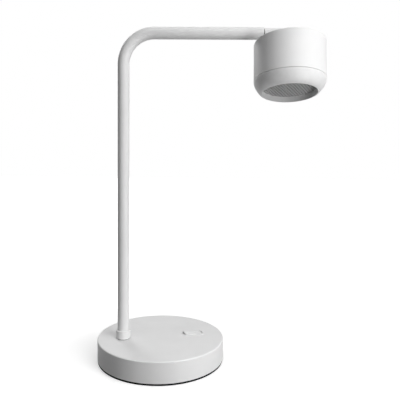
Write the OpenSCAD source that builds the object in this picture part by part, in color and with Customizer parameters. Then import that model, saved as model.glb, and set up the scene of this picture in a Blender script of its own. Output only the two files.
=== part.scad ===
// Desk lamp: a round weighted base, a bent tube that swivels in it, and a drum-shaped head
// that turns about the arm. Millimetres. +Z is up, the desk is z = 0, the origin is the centre
// of the base's underside, and +X runs from the stem to the switch.

/* [Base] */
// Outer diameter of the base
base_d = 160; // [150:1:190]
// Height of the base shell, from its rim to its top
shell_h = 25.1; // [24:0.1:30]
// Sheet thickness of the base shell
shell_t = 1.6; // [1.2:0.1:2]
// Radius along the shell's top edge
shell_edge_r = 1.4; // [0.6:0.1:3]
// Thickness of the rubber foot pad
pad_t = 2.4; // [1.6:0.1:4]
// How far the foot pad's edge stays inside the shell's side
pad_inset = 0.3; // [0.1:0.1:2]
// Thickness of the steel cover plate
cover_t = 1.6; // [1.4:0.1:2.4]
// Thickness of the cast weight
weight_t = 12; // [9:0.5:12]
// Gap between the weight and the shell's side
weight_gap = 2.5; // [1:0.1:5]
// Distance of each cover post from the base's edge
post_in = 14; // [13:0.5:18]
// Diameter of a cover post where it passes through the weight
post_d = 9; // [7:0.5:10]
// Diameter of a cover post where it presses on the weight
post_head_d = 13; // [12:0.5:15]

/* [Switch] */
// Distance of the switch's middle from the base's edge
switch_in = 38.5; // [34:0.5:40]
// Length of the rocker
rocker_l = 24; // [22:0.5:28]
// Width of the rocker
rocker_w = 11.4; // [10:0.2:14]
// Corner radius of the rocker, seen from above
rocker_corner_r = 3.2; // [1:0.1:5]
// Angle that the rocker tilts to each side of level
rocker_half_tilt = 6; // [4:0.5:8]
// Depth of the rocker's valley below the switch rim
rocker_valley = 0.6; // [0.3:0.1:1.5]
// Depth of the rocker's pivot below the switch rim
pivot_depth = 5; // [4:0.2:6]
// Diameter of the rocker's pivot studs
pivot_d = 2.4; // [1.8:0.1:3]
// Clear gap between the rocker and its housing
rocker_gap = 0.45; // [0.3:0.05:0.8]
// Wall thickness of the switch housing
switch_wall = 0.7; // [0.6:0.1:1.2]
// How far the switch rim reaches over the shell, and its thickness
rim_over = 0.8; // [0.5:0.1:1.5]
// Thickness of the switch rim
rim_t = 0.5; // [0.3:0.1:1]
// Depth of the switch housing below the shell's top
switch_depth = 13; // [12:0.5:14]

/* [Stem and arm] */
// Distance of the stem's axis from the base's edge
stem_in = 32; // [30:0.5:35]
// Outer diameter of the painted tube
tube_d = 14.2; // [13:0.1:16]
// Wall thickness of the tube
tube_t = 1; // [0.8:0.1:1.2]
// Height of the arm's axis above the desk
axis_z = 404; // [330:1:460]
// Radius of the bend, to the tube's centre line
bend_r = 37; // [28:1:60]
// Length of the arm, from the stem's axis to the tube's end
arm_l = 168; // [140:1:220]
// Turn of the arm from the base's axis as it stands, in degrees
arm_turn = -13.6; // [-60:0.1:60]
// Swing of the stem to each side of the base's axis, in degrees
stem_swing = 90; // [45:1:100]
// Outer diameter of the stem collar
collar_d = 18; // [17:0.1:22]
// Height of the stem collar
collar_h = 10; // [8:0.5:14]
// Thickness of the collar's floor
collar_floor = 2; // [1.5:0.1:3]
// Diameter of the spigot that turns in the base
spigot_d = 10; // [9:0.1:11]
// Length of the spigot's plug inside the tube
plug_l = 20; // [12:1:30]

/* [Head] */
// Distance of the head's axis from the elbow's open end
elbow_l = 30; // [26:1:60]
// Tilt of the head towards the front as it stands, in degrees
head_tilt = 8.9; // [-60:0.1:60]
// Swing of the head to each side of straight down, in degrees
head_swing = 90; // [45:1:100]
// Outer diameter of the head
head_d = 84.4; // [80:0.2:96]
// Distance of the head's top below the arm's axis
head_drop = 13.2; // [11.5:0.1:18]
// Length of the head shell, from its top to the seam
head_shell_h = 44.8; // [43:0.1:60]
// Length of the bezel, from the seam to the mouth
bezel_h = 15.3; // [14:0.1:22]
// Wall thickness of the head shell
head_wall = 1.8; // [1.4:0.1:2.4]
// Thickness of the head shell's top
head_top_t = 2; // [1.6:0.1:3]
// Radius along the head's top edge
head_edge_r = 1.2; // [0.5:0.1:3]
// Diameter of the mouth
mouth_d = 64.5; // [56:0.5:66]
// Radius of the rounded lip round the mouth
lip_r = 9.5; // [6:0.1:9.6]
// Depth of the louver behind the mouth
louver_depth = 7; // [5:0.1:7.5]
// Width and depth of the fine groove at the seam
seam_w = 0.4; // [0.2:0.05:0.8]
// Distance between neighbouring louver cells
cell_pitch = 4; // [3.9:0.1:6]
// Thickness of the walls between louver cells
cell_wall = 0.5; // [0.3:0.05:0.9]
// Thickness of the louver
louver_t = 3; // [2:0.1:4]
// Thickness of the lens
lens_t = 2; // [1.5:0.1:3]
// How far the bezel's sleeve reaches into the head shell
sleeve_h = 5; // [4:0.5:8]
// Diameter of the swivel elbow
elbow_d = 12.2; // [11.6:0.1:13]
// Radius of the elbow's bend, to its centre line
elbow_bend_r = 7.5; // [7:0.1:8]
// Diameter of the shaft that the head turns on
shaft_d = 8; // [7:0.1:8.6]
// Open gap between the tube's end and the elbow
swivel_gap = 1; // [0.6:0.1:1.5]

/* [Inside] */
// Diameter of the two-core lead in the stem and head
lead_d = 2.6; // [2:0.1:3]
// Length of the driver board
board_l = 42; // [36:1:44]
// Width of the driver board
board_w = 28; // [24:1:34]
// Height of the spacers under the driver board
board_lift = 2; // [1.5:0.1:3]
// Height of the power socket above the desk
socket_z = 15; // [14:0.1:17]
// Bore of the power socket
socket_bore_d = 5.6; // [5.4:0.1:6]
// Diameter of the light source
chip_d = 14; // [10:0.5:16]
// Diameter of the light source's board
led_board_d = 36; // [35:1:40]
// Height of the cooling fins
fin_h = 11; // [8:0.5:12]
// Thickness of a cooling fin
fin_t = 1.4; // [1:0.1:2]
// Distance between neighbouring cooling fins
fin_pitch = 7; // [6:0.5:10]

/* [Fits] */
// Radial play of a part that turns
run_fit = 0.05; // [0.02:0.01:0.1]
// Radial play of a part that stays put
seat_fit = 0.03; // [0.02:0.01:0.08]
// Gap round a part that drops into place
place_gap = 0.3; // [0.2:0.05:0.5]
// Radial play round a lead in a bore
lead_gap = 0.15; // [0.1:0.05:0.3]
// Radial play of the bezel's sleeve in the head shell
sleeve_gap = 0.1; // [0.05:0.05:0.3]

/* [Hidden] */

// Smoothness of round faces, and the sides of a swept lead
fine = 96;
small = 48;
lead_sides = 10;

// Overlap inside one solid, gap under a seated end, and depth that a screw keeps clear of
bite = 0.5;
end_gap = 0.2;
tip_gap = 0.5;

// Base, from the desk up
base_r = base_d / 2;
stem_at = base_r - stem_in;
switch_at = base_r - switch_in;
post_at = base_r - post_in;
rim_z = pad_t;
cover_top = rim_z + cover_t;
weight_top = cover_top + weight_t;
shell_top = rim_z + shell_h;
shell_under = shell_top - shell_t;
shell_inner_r = base_r - shell_t;
cover_r = shell_inner_r - place_gap;
weight_r = shell_inner_r - weight_gap;
post_angles = [90, 210, 330];
screw_d = 3;
screw_head_d = 5.8;
cover_screw_l = 9;

// Stem, its swivel and the openings that they need in the base
tube_r = tube_d / 2;
tube_bore_r = tube_r - tube_t;
spigot_r = spigot_d / 2;
lead_r = lead_d / 2;
lead_bore_r = lead_r + lead_gap;
lead_break = 0.6;
bush_wall = 1.4;
bush_r = spigot_r + run_fit + bush_wall;
bush_flange_r = bush_r + 3;
bush_flange_t = 1.5;
collar_washer_t = 0.8;
collar_washer_r = collar_d / 2 - 1;
collar_z = shell_top + collar_washer_t;
tube_foot_z = collar_z + collar_floor;
collar_chamfer = 0.5;
stop_t = 1.5;
stop_z = shell_under - bush_flange_t - stop_t;
stop_hub_r = spigot_r + 3.5;
stop_post_r = 1.5;
stop_post_at = stop_hub_r + 2.5;
stop_r = stop_post_at + 2;
stop_play = 2;
stop_half = 180 - stem_swing - stop_play - asin(stop_post_r / stop_post_at);
cone_t = 0.8;
cone_rise = 0.5;
cone_r = spigot_r + 2.8;
cone_z = stop_z - cone_t - cone_rise;
stem_nut_t = 5;
stem_nut_flats = spigot_d + 6;
stem_nut_z = cone_z - stem_nut_t;
spigot_foot_z = stem_nut_z - 1.6;
flat_depth = 0.8;
stem_hole_r = 15;
post_hole_gap = place_gap;

// Switch: the pivot, the cavity and the rim
rim_top = shell_top + rim_t;
pivot_z = rim_top - pivot_depth;
pivot_r = pivot_d / 2;
valley_h = pivot_depth - rocker_valley;
tip_h = valley_h + rocker_l / 2 * tan(rocker_half_tilt);
skirt_h = 3;
cavity_l = rocker_l * cos(rocker_half_tilt) + 2 * tip_h * sin(rocker_half_tilt) + 2 * rocker_gap;
cavity_w = rocker_w + 2 * rocker_gap;
housing_l = cavity_l + 2 * switch_wall;
housing_w = cavity_w + 2 * switch_wall;
cutout_gap = 0.2;
rim_l = housing_l + 2 * rim_over;
rim_w = housing_w + 2 * rim_over;
rim_corner_r = rocker_corner_r + rocker_gap + switch_wall;
housing_z = shell_top - switch_depth;
housing_floor = 2;
snap_root = 0.3;
snap_out = 0.8;
snap_h = 3;
window_l = housing_l + 8;
window_w = housing_w + 5;
contact_t = 0.4;
contact_l = 16;
contact_w = 4;
contact_gap = 0.3;
blade_at = contact_l / 2;
blade_t = 0.8;
blade_w = 4.8;
blade_foot_z = housing_z - 5;

// Power socket, at the rear of the base
nose_d = 8;
nose_gap = 0.2;
nose_set_back = 0.2;
socket_w = 9;
socket_h = 11;
socket_l = 13.5;
socket_x = -(shell_inner_r - 0.5);
socket_bore_l = 9.5;
socket_pin_d = 2;
tab_in = 3;
tab_out = 3.5;
tab_w = 2.4;
clamp_t = 1.2;
clamp_w = 7;
clamp_foot = 6;
pocket_gap = 0.25;
clamp_x = socket_x + socket_l / 2;
clamp_screw_at = socket_w / 2 + clamp_t + clamp_foot / 2;
clamp_top = socket_z + socket_h / 2 + pocket_gap + clamp_t;

// Driver board, on the weight between the stem and the switch
board_x = -3;
board_t = 1.6;
board_z = weight_top + board_lift;
board_top = board_z + board_t;
board_hole_in = 3;
lead_over = 3.4;
board_screw_d = 2.5;
board_screw_head_d = 4.6;
board_screw_head_t = 1.6;
board_bite = 6;
coil_d = 11;
coil_h = 4.4;
coil_at = [3, -6];
coil_slot_w = 2;
coil_slot_h = 0.8;
cap_d = 6;
cap_h = 4.2;
cap_at = [5, 12];
cap_y = 8;
// Flat chips on the board: place along and across it, length, width
chips = [[-4, 7.3, 6, 4.6], [11.2, -6, 4.4, 6], [-7.5, -1.8, 3, 5.4]];
chip_h = 1.2;

// Arm: the swivel inside its end
arm_bush_l = 25;
arm_bush_x = arm_l - arm_bush_l;
shaft_r = shaft_d / 2;
shaft_in_elbow = 10;
shaft_washer_t = 1.5;
shaft_nut_t = 5;
shaft_foot_x = arm_bush_x - shaft_washer_t - shaft_nut_t - 1.5;
swivel_clear = 0.5;
shaft_nut_flats = 2 * (tube_bore_r - swivel_clear) * cos(30);
shaft_stop_r = 0.9;
shaft_stop_x = arm_bush_x + 2 * shaft_stop_r;
shaft_stop_reach = tube_bore_r - swivel_clear;
stop_slot_l = 4 * shaft_stop_r;
arm_stop_half = head_swing + stop_play + asin(shaft_stop_r / shaft_r);
elbow_x = arm_l + swivel_gap;
head_at = elbow_x + elbow_l;
tube_chamfer = 0.4;

// Head, in its own frame: the arm's axis is z = 0 and the head hangs below it
head_r = head_d / 2;
head_bore_r = head_r - head_wall;
head_top_z = -head_drop;
head_ceiling = head_top_z - head_top_t;
seam_z = head_top_z - head_shell_h;
mouth_z = seam_z - bezel_h;
mouth_r = mouth_d / 2;
elbow_r = elbow_d / 2;
neck_r = 5;
neck_flange_r = elbow_r + 2;
neck_flange_t = 1.5;
neck_washer_t = 0.8;
neck_nut_t = 4;
neck_nut_flats = 15;
neck_foot_z = head_ceiling - neck_washer_t - neck_nut_t - 1.2;
louver_z = mouth_z + louver_depth;
lens_z = louver_z + louver_t;
flange_z = lens_z + lens_t;
flange_t = 1;
ring_t = 1.2;
optics_r = mouth_r + 3.7;
optics_gap = 0.25;
ring_in = 1.4;
ring_groove_r = optics_r + optics_gap + 0.6;
sleeve_r = head_bore_r - sleeve_gap;
sleeve_top = seam_z + sleeve_h;
louver_rim = 1.5;
boss_r = 4;
boss_at = head_bore_r - boss_r + 0.8;
boss_angles = [30, 150, 270];
boss_bite = 6;
sink_t = 3;
sink_gap = place_gap;
fin_top = neck_foot_z + 2;
sink_z = fin_top - fin_h;
sink_r = head_bore_r - sink_gap;
fin_span_r = boss_at - boss_r - 1;
fin_clear_r = 15;
sink_under = sink_z - sink_t;
led_board_t = 1.6;
led_face_z = sink_under - led_board_t;
chip_t = 1;
sink_screw_head_t = 2;
led_screw_head_d = 3.6;
led_screw_head_t = 1.2;
led_screw_at = led_board_d / 2 - 3.5;
reflector_t = 1;
reflector_top_r = chip_d / 2 + 1;
reflector_ring_r = reflector_top_r + 3;
reflector_wall = 1.4;
lead_drop_x = 12;
lead_bend_r = 4;
lead_turn_z = sink_z + 2 * lead_bend_r;

// Places a child on the stem's axis
module at_stem() {
    translate([-stem_at, 0, 0]) children();
}

// Places a child in the arm's frame: X along the arm, the stem's axis at X = 0
module in_arm() {
    at_stem() rotate([0, 0, arm_turn]) children();
}

// Places a child in the head's frame, tilted about the arm's axis
module in_head() {
    in_arm() translate([head_at, 0, axis_z]) rotate([-head_tilt, 0, 0]) children();
}

// Ring with square edges about Z
module ring(r0, r1, z0, z1) {
    rotate_extrude($fn = fine) translate([r0, z0]) square([r1 - r0, z1 - z0]);
}

// Round bar along X
module x_bar(r, x0, x1) {
    translate([x0, 0, 0]) rotate([0, 90, 0]) cylinder(r = r, h = x1 - x0, $fn = small);
}

// Pipe along X
module x_pipe(r0, r1, x0, x1) {
    difference() {
        x_bar(r1, x0, x1);
        x_bar(r0, x0 - 1, x1 + 1);
    }
}

// Quarter turn of a round bar in the XZ plane, about the origin, starting at the angle a
module quarter_bar(bend, r, a) {
    rotate([90, 0, 0]) rotate([0, 0, a]) rotate_extrude(angle = 90, $fn = fine)
        translate([bend, 0]) circle(r, $fn = small);
}

// Flat shape with round corners, centred
module rounded(l, w, r) {
    union() {
        square([l - 2 * r, w], center = true);
        square([l, w - 2 * r], center = true);
        for (x = [-1, 1], y = [-1, 1])
            translate([x * (l / 2 - r), y * (w / 2 - r)]) circle(r, $fn = small);
    }
}

// Six-sided nut with its underside at z = 0
module hex_nut(flats, t, bore_r) {
    difference() {
        cylinder(r = flats / 2 / cos(30), h = t, $fn = 6);
        translate([0, 0, -1]) cylinder(r = bore_r, h = t + 2, $fn = small);
    }
}

// Flat wedge of a half angle, pointing along X
module wedge(half, r) {
    polygon(concat([[0, 0]], [for (i = [-4:4]) [r * cos(i * half / 4), r * sin(i * half / 4)]]));
}

// Pan-head screw with its head's underside at z = 0 and its shank downwards
module pan_screw(d, head_d, head_t, l) {
    union() {
        cylinder(d = head_d, h = head_t, $fn = small);
        translate([0, 0, -l]) cylinder(d = d, h = l + head_t / 2, $fn = small);
    }
}

// Smooth curve through the points of a route
function curve_at(a, b, c, d, t) =
    0.5 * (2 * b + (c - a) * t + (2 * a - 5 * b + 4 * c - d) * t * t + (3 * b - a - 3 * c + d) * t * t * t);
function smooth(p, n) = [
    for (i = [0:len(p) - 2], s = [0:n - 1])
        curve_at(p[max(i - 1, 0)], p[i], p[i + 1], p[min(i + 2, len(p) - 1)], s / n),
    p[len(p) - 1]
];
function unit(v) = v / norm(v);

// Lead of round section swept along a route; side is a direction that the route never takes
module lead_along(route, r, side) {
    path = smooth(route, 4);
    n = len(path);
    points = [
        for (i = [0:n - 1])
            let (t = unit(path[min(i + 1, n - 1)] - path[max(i - 1, 0)]),
                 b = unit(cross(t, side)), c = cross(b, t))
            for (k = [0:lead_sides - 1])
                path[i] + r * (cos(k * 360 / lead_sides) * b + sin(k * 360 / lead_sides) * c)
    ];
    walls = [
        for (i = [0:n - 2], k = [0:lead_sides - 1])
            let (a = i * lead_sides + k, b = i * lead_sides + (k + 1) % lead_sides)
            [a, b, b + lead_sides, a + lead_sides]
    ];
    foot = [for (k = [lead_sides - 1:-1:0]) k];
    head = [for (k = [0:lead_sides - 1]) (n - 1) * lead_sides + k];
    polyhedron(points, concat(walls, [foot, head]));
}

// ---- Base ----

// Rubber pad that the lamp stands on
module foot_pad() {
    color("#1c1c1c") cylinder(r = base_r - pad_inset, h = pad_t, $fn = fine);
}

// Steel plate that closes the base, countersunk for its screws
module base_cover() {
    color("#8a8d90") difference() {
        translate([0, 0, rim_z]) cylinder(r = cover_r, h = cover_t, $fn = fine);
        for (a = post_angles) rotate([0, 0, a]) translate([post_at, 0, 0]) {
            translate([0, 0, rim_z - 1]) cylinder(d = screw_d + 2 * seat_fit, h = cover_t + 2, $fn = small);
            translate([0, 0, rim_z]) screw_cone(seat_fit);
        }
    }
}

// Cone of a countersunk head, with its wide face down
module screw_cone(grow) {
    cylinder(r1 = screw_head_d / 2 + grow, r2 = screw_d / 2 + grow, h = cover_t, $fn = small);
}

// Countersunk screws that hold the cover to the posts
module cover_screws() {
    color("#5c5f62") for (a = post_angles) rotate([0, 0, a]) translate([post_at, 0, rim_z]) union() {
        screw_cone(0);
        cylinder(d = screw_d, h = cover_t + cover_screw_l, $fn = small);
    }
}

// Cast disc that keeps the lamp upright, open under the stem, the switch and the socket
module base_weight() {
    color("#4a4c4f") difference() {
        translate([0, 0, cover_top]) cylinder(r = weight_r, h = weight_t, $fn = fine);
        translate([-stem_at, 0, cover_top - 1]) cylinder(r = stem_hole_r, h = weight_t + 2, $fn = fine);
        translate([switch_at - window_l / 2, -window_w / 2, cover_top - 1])
            cube([window_l, window_w, weight_t + 2]);
        for (a = post_angles) rotate([0, 0, a]) translate([post_at, 0, cover_top - 1])
            cylinder(r = post_d / 2 + post_hole_gap, h = weight_t + 2, $fn = small);
        translate([-base_r, -socket_w / 2 - pocket_gap, socket_z - socket_h / 2])
            cube([base_r - stem_at, socket_w + 2 * pocket_gap, base_d]);
        for (p = board_holes()) translate([p.x, p.y, weight_top - board_bite])
            cylinder(d = board_screw_d + 2 * seat_fit, h = board_bite + 1, $fn = small);
        for (y = [-clamp_screw_at, clamp_screw_at]) translate([clamp_x, y, weight_top - board_bite])
            cylinder(d = board_screw_d + 2 * seat_fit, h = board_bite + 1, $fn = small);
    }
}

// Shouldered posts, welded under the shell's top, that clamp the weight to the cover
module cover_posts() {
    color("#9a9da0") for (a = post_angles) rotate([0, 0, a]) translate([post_at, 0, 0]) difference() {
        union() {
            translate([0, 0, cover_top]) cylinder(d = post_d, h = shell_under - cover_top, $fn = small);
            translate([0, 0, weight_top])
                cylinder(d = post_head_d, h = shell_under - weight_top, $fn = small);
        }
        translate([0, 0, cover_top - 1])
            cylinder(d = screw_d + 2 * seat_fit, h = cover_screw_l + 2, $fn = small);
    }
}

// Half section of the drawn steel shell
module shell_section() {
    difference() {
        union() {
            translate([0, rim_z]) square([base_r, shell_h - shell_edge_r]);
            translate([0, rim_z]) square([base_r - shell_edge_r, shell_h]);
            translate([base_r - shell_edge_r, shell_top - shell_edge_r]) circle(shell_edge_r, $fn = small);
        }
        translate([-1, rim_z - 1]) square([shell_inner_r + 1, shell_h - shell_t + 1]);
    }
}

// Painted shell of the base, with holes for the stem, the switch and the socket's nose
module base_shell() {
    color("#f0f0ef") difference() {
        rotate_extrude($fn = fine) intersection() {
            shell_section();
            square([base_d, base_d]);
        }
        translate([-stem_at, 0, shell_under - 1])
            cylinder(r = bush_r + seat_fit, h = shell_t + 2, $fn = fine);
        translate([switch_at, 0, shell_under - 1]) linear_extrude(shell_t + 2)
            rounded(housing_l + 2 * cutout_gap, housing_w + 2 * cutout_gap, rim_corner_r + cutout_gap);
        translate([-base_r - 1, 0, socket_z]) rotate([0, 90, 0])
            cylinder(r = nose_d / 2 + nose_gap, h = shell_t + 4, $fn = small);
        translate([-stem_at - stop_post_at, 0, shell_under - 1])
            cylinder(r = stop_post_r + seat_fit, h = 1 + shell_t / 2, $fn = small);
    }
}

// ---- Switch ----

// Rocker's outline seen from the side, with its pivot at the origin and level
module rocker_side() {
    half = rocker_l / 2;
    polygon([[-half, -skirt_h], [half, -skirt_h], [half, tip_h], [0, valley_h], [-half, tip_h]]);
}

// Places a child at the rocker's pivot, tipped so that its outer half lies level
module at_rocker() {
    translate([switch_at, 0, pivot_z]) rotate([0, rocker_half_tilt, 0]) children();
}

// Housing of the switch: a rim on the shell and an open box under it
module switch_housing() {
    color("#ececeb") difference() {
        union() {
            translate([switch_at, 0, shell_top]) linear_extrude(rim_t)
                rounded(rim_l, rim_w, rim_corner_r + rim_over);
            translate([switch_at, 0, housing_z]) linear_extrude(switch_depth + rim_t / 2)
                rounded(housing_l, housing_w, rim_corner_r);
            for (side = [-1, 1]) translate([switch_at, 0, shell_under - seat_fit]) snap_wedge(side);
        }
        translate([switch_at, 0, housing_z + housing_floor]) linear_extrude(switch_depth + 2)
            rounded(cavity_l, cavity_w, rocker_corner_r + rocker_gap);
        translate([switch_at, 0, pivot_z]) rotate([90, 0, 0])
            cylinder(r = pivot_r + run_fit, h = housing_w + 2, center = true, $fn = small);
        for (x = [-blade_at, 0, blade_at]) translate([switch_at + x, 0, housing_z + housing_floor / 2])
            cube([blade_t + 2 * seat_fit, blade_w + 2 * seat_fit, housing_floor + 1], center = true);
    }
}

// Snap under the shell at one end of the housing
module snap_wedge(side) {
    root = housing_l / 2 - snap_root;
    rotate([90, 0, 0]) linear_extrude(blade_w, center = true)
        polygon([[side * root, 0], [side * (housing_l / 2 + snap_out), 0], [side * root, -snap_h]]);
}

// Rocker with a shallow V on top and a pivot stud on each side
module switch_rocker() {
    color("#e6e6e5") at_rocker() union() {
        intersection() {
            rotate([90, 0, 0]) linear_extrude(rocker_w, center = true) rocker_side();
            translate([0, 0, -skirt_h - 1]) linear_extrude(tip_h + skirt_h + 2)
                rounded(rocker_l, rocker_w, rocker_corner_r);
        }
        rotate([90, 0, 0]) cylinder(r = pivot_r, h = cavity_w + switch_wall, center = true, $fn = small);
    }
}

// Brass leaf under the rocker that joins the middle terminal to an outer one
module switch_contact() {
    color("#c9a24b") at_rocker() translate([0, 0, -skirt_h - contact_t / 2])
        cube([contact_l, contact_w, contact_t], center = true);
}

// Height of the contact leaf's underside at a distance along the rocker, as it stands
function leaf_z(x) = pivot_z - (skirt_h + contact_t) * cos(rocker_half_tilt) - x * sin(rocker_half_tilt);

// Three brass blades through the housing's floor
module switch_terminals() {
    color("#c9a24b") for (x = [-blade_at, 0, blade_at])
        translate([switch_at + x - blade_t / 2, -blade_w / 2, blade_foot_z])
            cube([blade_t, blade_w, leaf_z(abs(x) + blade_t) - contact_gap - blade_foot_z]);
}

// Lead from the switch to the driver board
module switch_lead() {
    x = switch_at - blade_at;
    up_x = switch_at - housing_l / 2 - lead_r - 1;
    low = blade_foot_z - 2.4 * lead_r;
    color("#2b2b2b") lead_along([
        [x, 0, blade_foot_z - end_gap], [x, 0, blade_foot_z - lead_r], [x - 1.5 * lead_r, 0, low],
        [up_x + lead_r, 0, low + lead_r / 2], [up_x, 0, blade_foot_z + lead_r],
        [up_x, 0, weight_top + lead_r],
        [up_x - lead_r, 0, board_top + 1.7 * lead_r], [up_x - 3.5 * lead_r, 0, board_top + 1.8 * lead_r],
        [board_x + board_l / 2 - lead_over, 0, board_top + lead_r]
    ], lead_r, [0, 1, 0]);
}

// ---- Power socket ----

// Moulded socket body with a round nose in the shell's side
module power_socket() {
    color("#262626") difference() {
        union() {
            translate([socket_x, -socket_w / 2, socket_z - socket_h / 2])
                cube([socket_l, socket_w, socket_h]);
            translate([0, 0, socket_z]) x_bar(nose_d / 2, -base_r + nose_set_back, socket_x + 1);
        }
        translate([0, 0, socket_z])
            x_bar(socket_bore_d / 2, -base_r - 1, -base_r + nose_set_back + socket_bore_l);
        translate([0, 0, socket_z])
            x_bar(socket_pin_d / 2 + seat_fit, -base_r + nose_set_back, socket_x + socket_l - 2);
        for (y = [-1, 1]) translate([socket_x + socket_l, y * socket_w / 4, socket_z])
            cube([2 * tab_in + 2 * end_gap, tab_w + 2 * seat_fit, blade_t + 2 * seat_fit], center = true);
    }
}

// Centre pin of the socket
module socket_pin() {
    color("#c9a24b") translate([0, 0, socket_z])
        x_bar(socket_pin_d / 2, -base_r + nose_set_back + 1, socket_x + socket_l - 2);
}

// Solder tabs behind the socket
module socket_tabs() {
    color("#c9a24b") for (y = [-1, 1])
        translate([socket_x + socket_l - tab_in, y * socket_w / 4 - tab_w / 2, socket_z - blade_t / 2])
            cube([tab_in + tab_out, tab_w, blade_t]);
}

// Strap that holds the socket down on the weight
module socket_clamp() {
    inner = socket_w / 2 + pocket_gap;
    outer = inner + clamp_t;
    color("#9a9da0") difference() {
        translate([clamp_x, 0, 0]) rotate([90, 0, 90]) linear_extrude(clamp_w, center = true) union() {
            translate([-outer, clamp_top - clamp_t]) square([2 * outer, clamp_t]);
            for (side = [0, 1]) mirror([side, 0]) {
                translate([inner, weight_top]) square([clamp_t, clamp_top - weight_top]);
                translate([inner, weight_top]) square([clamp_t + clamp_foot, clamp_t]);
            }
        }
        for (y = [-clamp_screw_at, clamp_screw_at]) translate([clamp_x, y, weight_top - 1])
            cylinder(d = board_screw_d + 2 * seat_fit, h = clamp_t + 2, $fn = small);
    }
}

// Screws of the clamp
module clamp_screws() {
    color("#5c5f62") for (y = [-clamp_screw_at, clamp_screw_at])
        translate([clamp_x, y, weight_top + clamp_t])
            pan_screw(board_screw_d, board_screw_head_d, board_screw_head_t, board_bite + clamp_t - tip_gap);
}

// Lead from the socket round the stem's nut to the driver board
module socket_lead() {
    tab_x = socket_x + socket_l + tab_out;
    board_edge = board_x - board_l / 2;
    side_y = stem_hole_r + 2 * lead_r;
    on_weight = weight_top + lead_r + end_gap;
    color("#2b2b2b") lead_along([
        [tab_x - lead_r, socket_w / 4, socket_z + blade_t / 2 + lead_r],
        [tab_x + lead_r, socket_w / 2, socket_z + 2.3 * lead_r],
        [-stem_at - stem_hole_r / 2, stem_hole_r - 3 * lead_r, on_weight],
        [-stem_at, side_y, on_weight], [-stem_at + stem_hole_r, side_y - lead_r, on_weight],
        [board_edge - 2 * lead_r, side_y / 2, board_top + lead_r],
        [board_edge + 2 * lead_r, lead_over + 2 * lead_r, board_top + 1.3 * lead_r],
        [board_edge + 2 * lead_over, lead_over + 1.5 * lead_r, board_top + lead_r]
    ], lead_r, [0, 0, 1]);
}

// ---- Driver board ----

// Centres of the holes in the board's corners
function board_holes() = [
    for (x = [-1, 1], y = [-1, 1])
        [board_x + x * (board_l / 2 - board_hole_in), y * (board_w / 2 - board_hole_in)]
];

// Circuit board with its flat chips
module driver_board() {
    color("#2f6b45") difference() {
        union() {
            translate([board_x - board_l / 2, -board_w / 2, board_z]) cube([board_l, board_w, board_t]);
            for (c = chips) translate([board_x + c.x, c.y, board_top])
                linear_extrude(2 * chip_h, center = true) square([c[2], c[3]], center = true);
        }
        for (p = board_holes()) translate([p.x, p.y, board_z - 1])
            cylinder(d = board_screw_d + 2 * seat_fit, h = board_t + 2, $fn = small);
    }
}

// Choke coil in its ferrite pot
module driver_coil() {
    color("#3a3a3c") translate([board_x + coil_at.x, coil_at.y, board_top]) difference() {
        cylinder(d = coil_d, h = coil_h, $fn = fine);
        ring(coil_d / 5, coil_d / 5 + coil_slot_w, coil_h - coil_slot_h, coil_h + 1);
    }
}

// Two round capacitors
module driver_capacitors() {
    color("#b9bcc0") for (x = cap_at) translate([board_x + x, cap_y, board_top])
        cylinder(d = cap_d, h = cap_h, $fn = small);
}

// Spacers between the weight and the board
module board_spacers() {
    color("#d8d4c8") for (p = board_holes()) translate([p.x, p.y, 0])
        ring(board_screw_d / 2 + seat_fit, board_screw_head_d / 2, weight_top, board_z);
}

// Screws of the board
module board_screws() {
    color("#5c5f62") for (p = board_holes()) translate([p.x, p.y, board_top])
        pan_screw(board_screw_d, board_screw_head_d, board_screw_head_t,
                  board_t + board_lift + board_bite - tip_gap);
}

// Lead from the driver board to the foot of the stem
module base_lead() {
    low = cover_top + 1.6 * lead_r;
    up_x = -stem_at + stem_hole_r - lead_r - 1;
    color("#2b2b2b") lead_along([
        [-stem_at, 0, spigot_foot_z], [-stem_at, 0, spigot_foot_z - 1.5 * lead_r],
        [-stem_at + lead_r, 0, low + 2.3 * lead_r], [-stem_at + 4.2 * lead_r, 0, low],
        [up_x - 1.7 * lead_r, 0, low + 1.5 * lead_r], [up_x, 0, low + 5 * lead_r], [up_x, 0, weight_top],
        [up_x + 2 * lead_r, 0, board_top - lead_r], [up_x + 5 * lead_r, 0, board_top + 1.2 * lead_r],
        [board_x - board_l / 2 + lead_over, 0, board_top + lead_r]
    ], lead_r, [0, 1, 0]);
}

// ---- Stem swivel ----

// Flanged bush that the spigot turns in
module swivel_bush() {
    color("#d8d4c8") at_stem() rotate_extrude($fn = fine) union() {
        translate([spigot_r + run_fit, shell_under - bush_flange_t])
            square([bush_r - spigot_r - run_fit, bush_flange_t + shell_t]);
        translate([spigot_r + run_fit, shell_under - bush_flange_t])
            square([bush_flange_r - spigot_r - run_fit, bush_flange_t]);
    }
}

// Dark washer between the collar and the base
module collar_washer() {
    color("#1c1c1c") at_stem() ring(spigot_r + run_fit, collar_washer_r, shell_top, collar_z);
}

// Post under the shell that stops the stem's turn
module stop_post() {
    top = shell_under + shell_t / 2 - end_gap;
    color("#9a9da0") translate([-stem_at - stop_post_at, 0, stop_z - tip_gap])
        cylinder(r = stop_post_r, h = top - stop_z + tip_gap, $fn = small);
}

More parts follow.
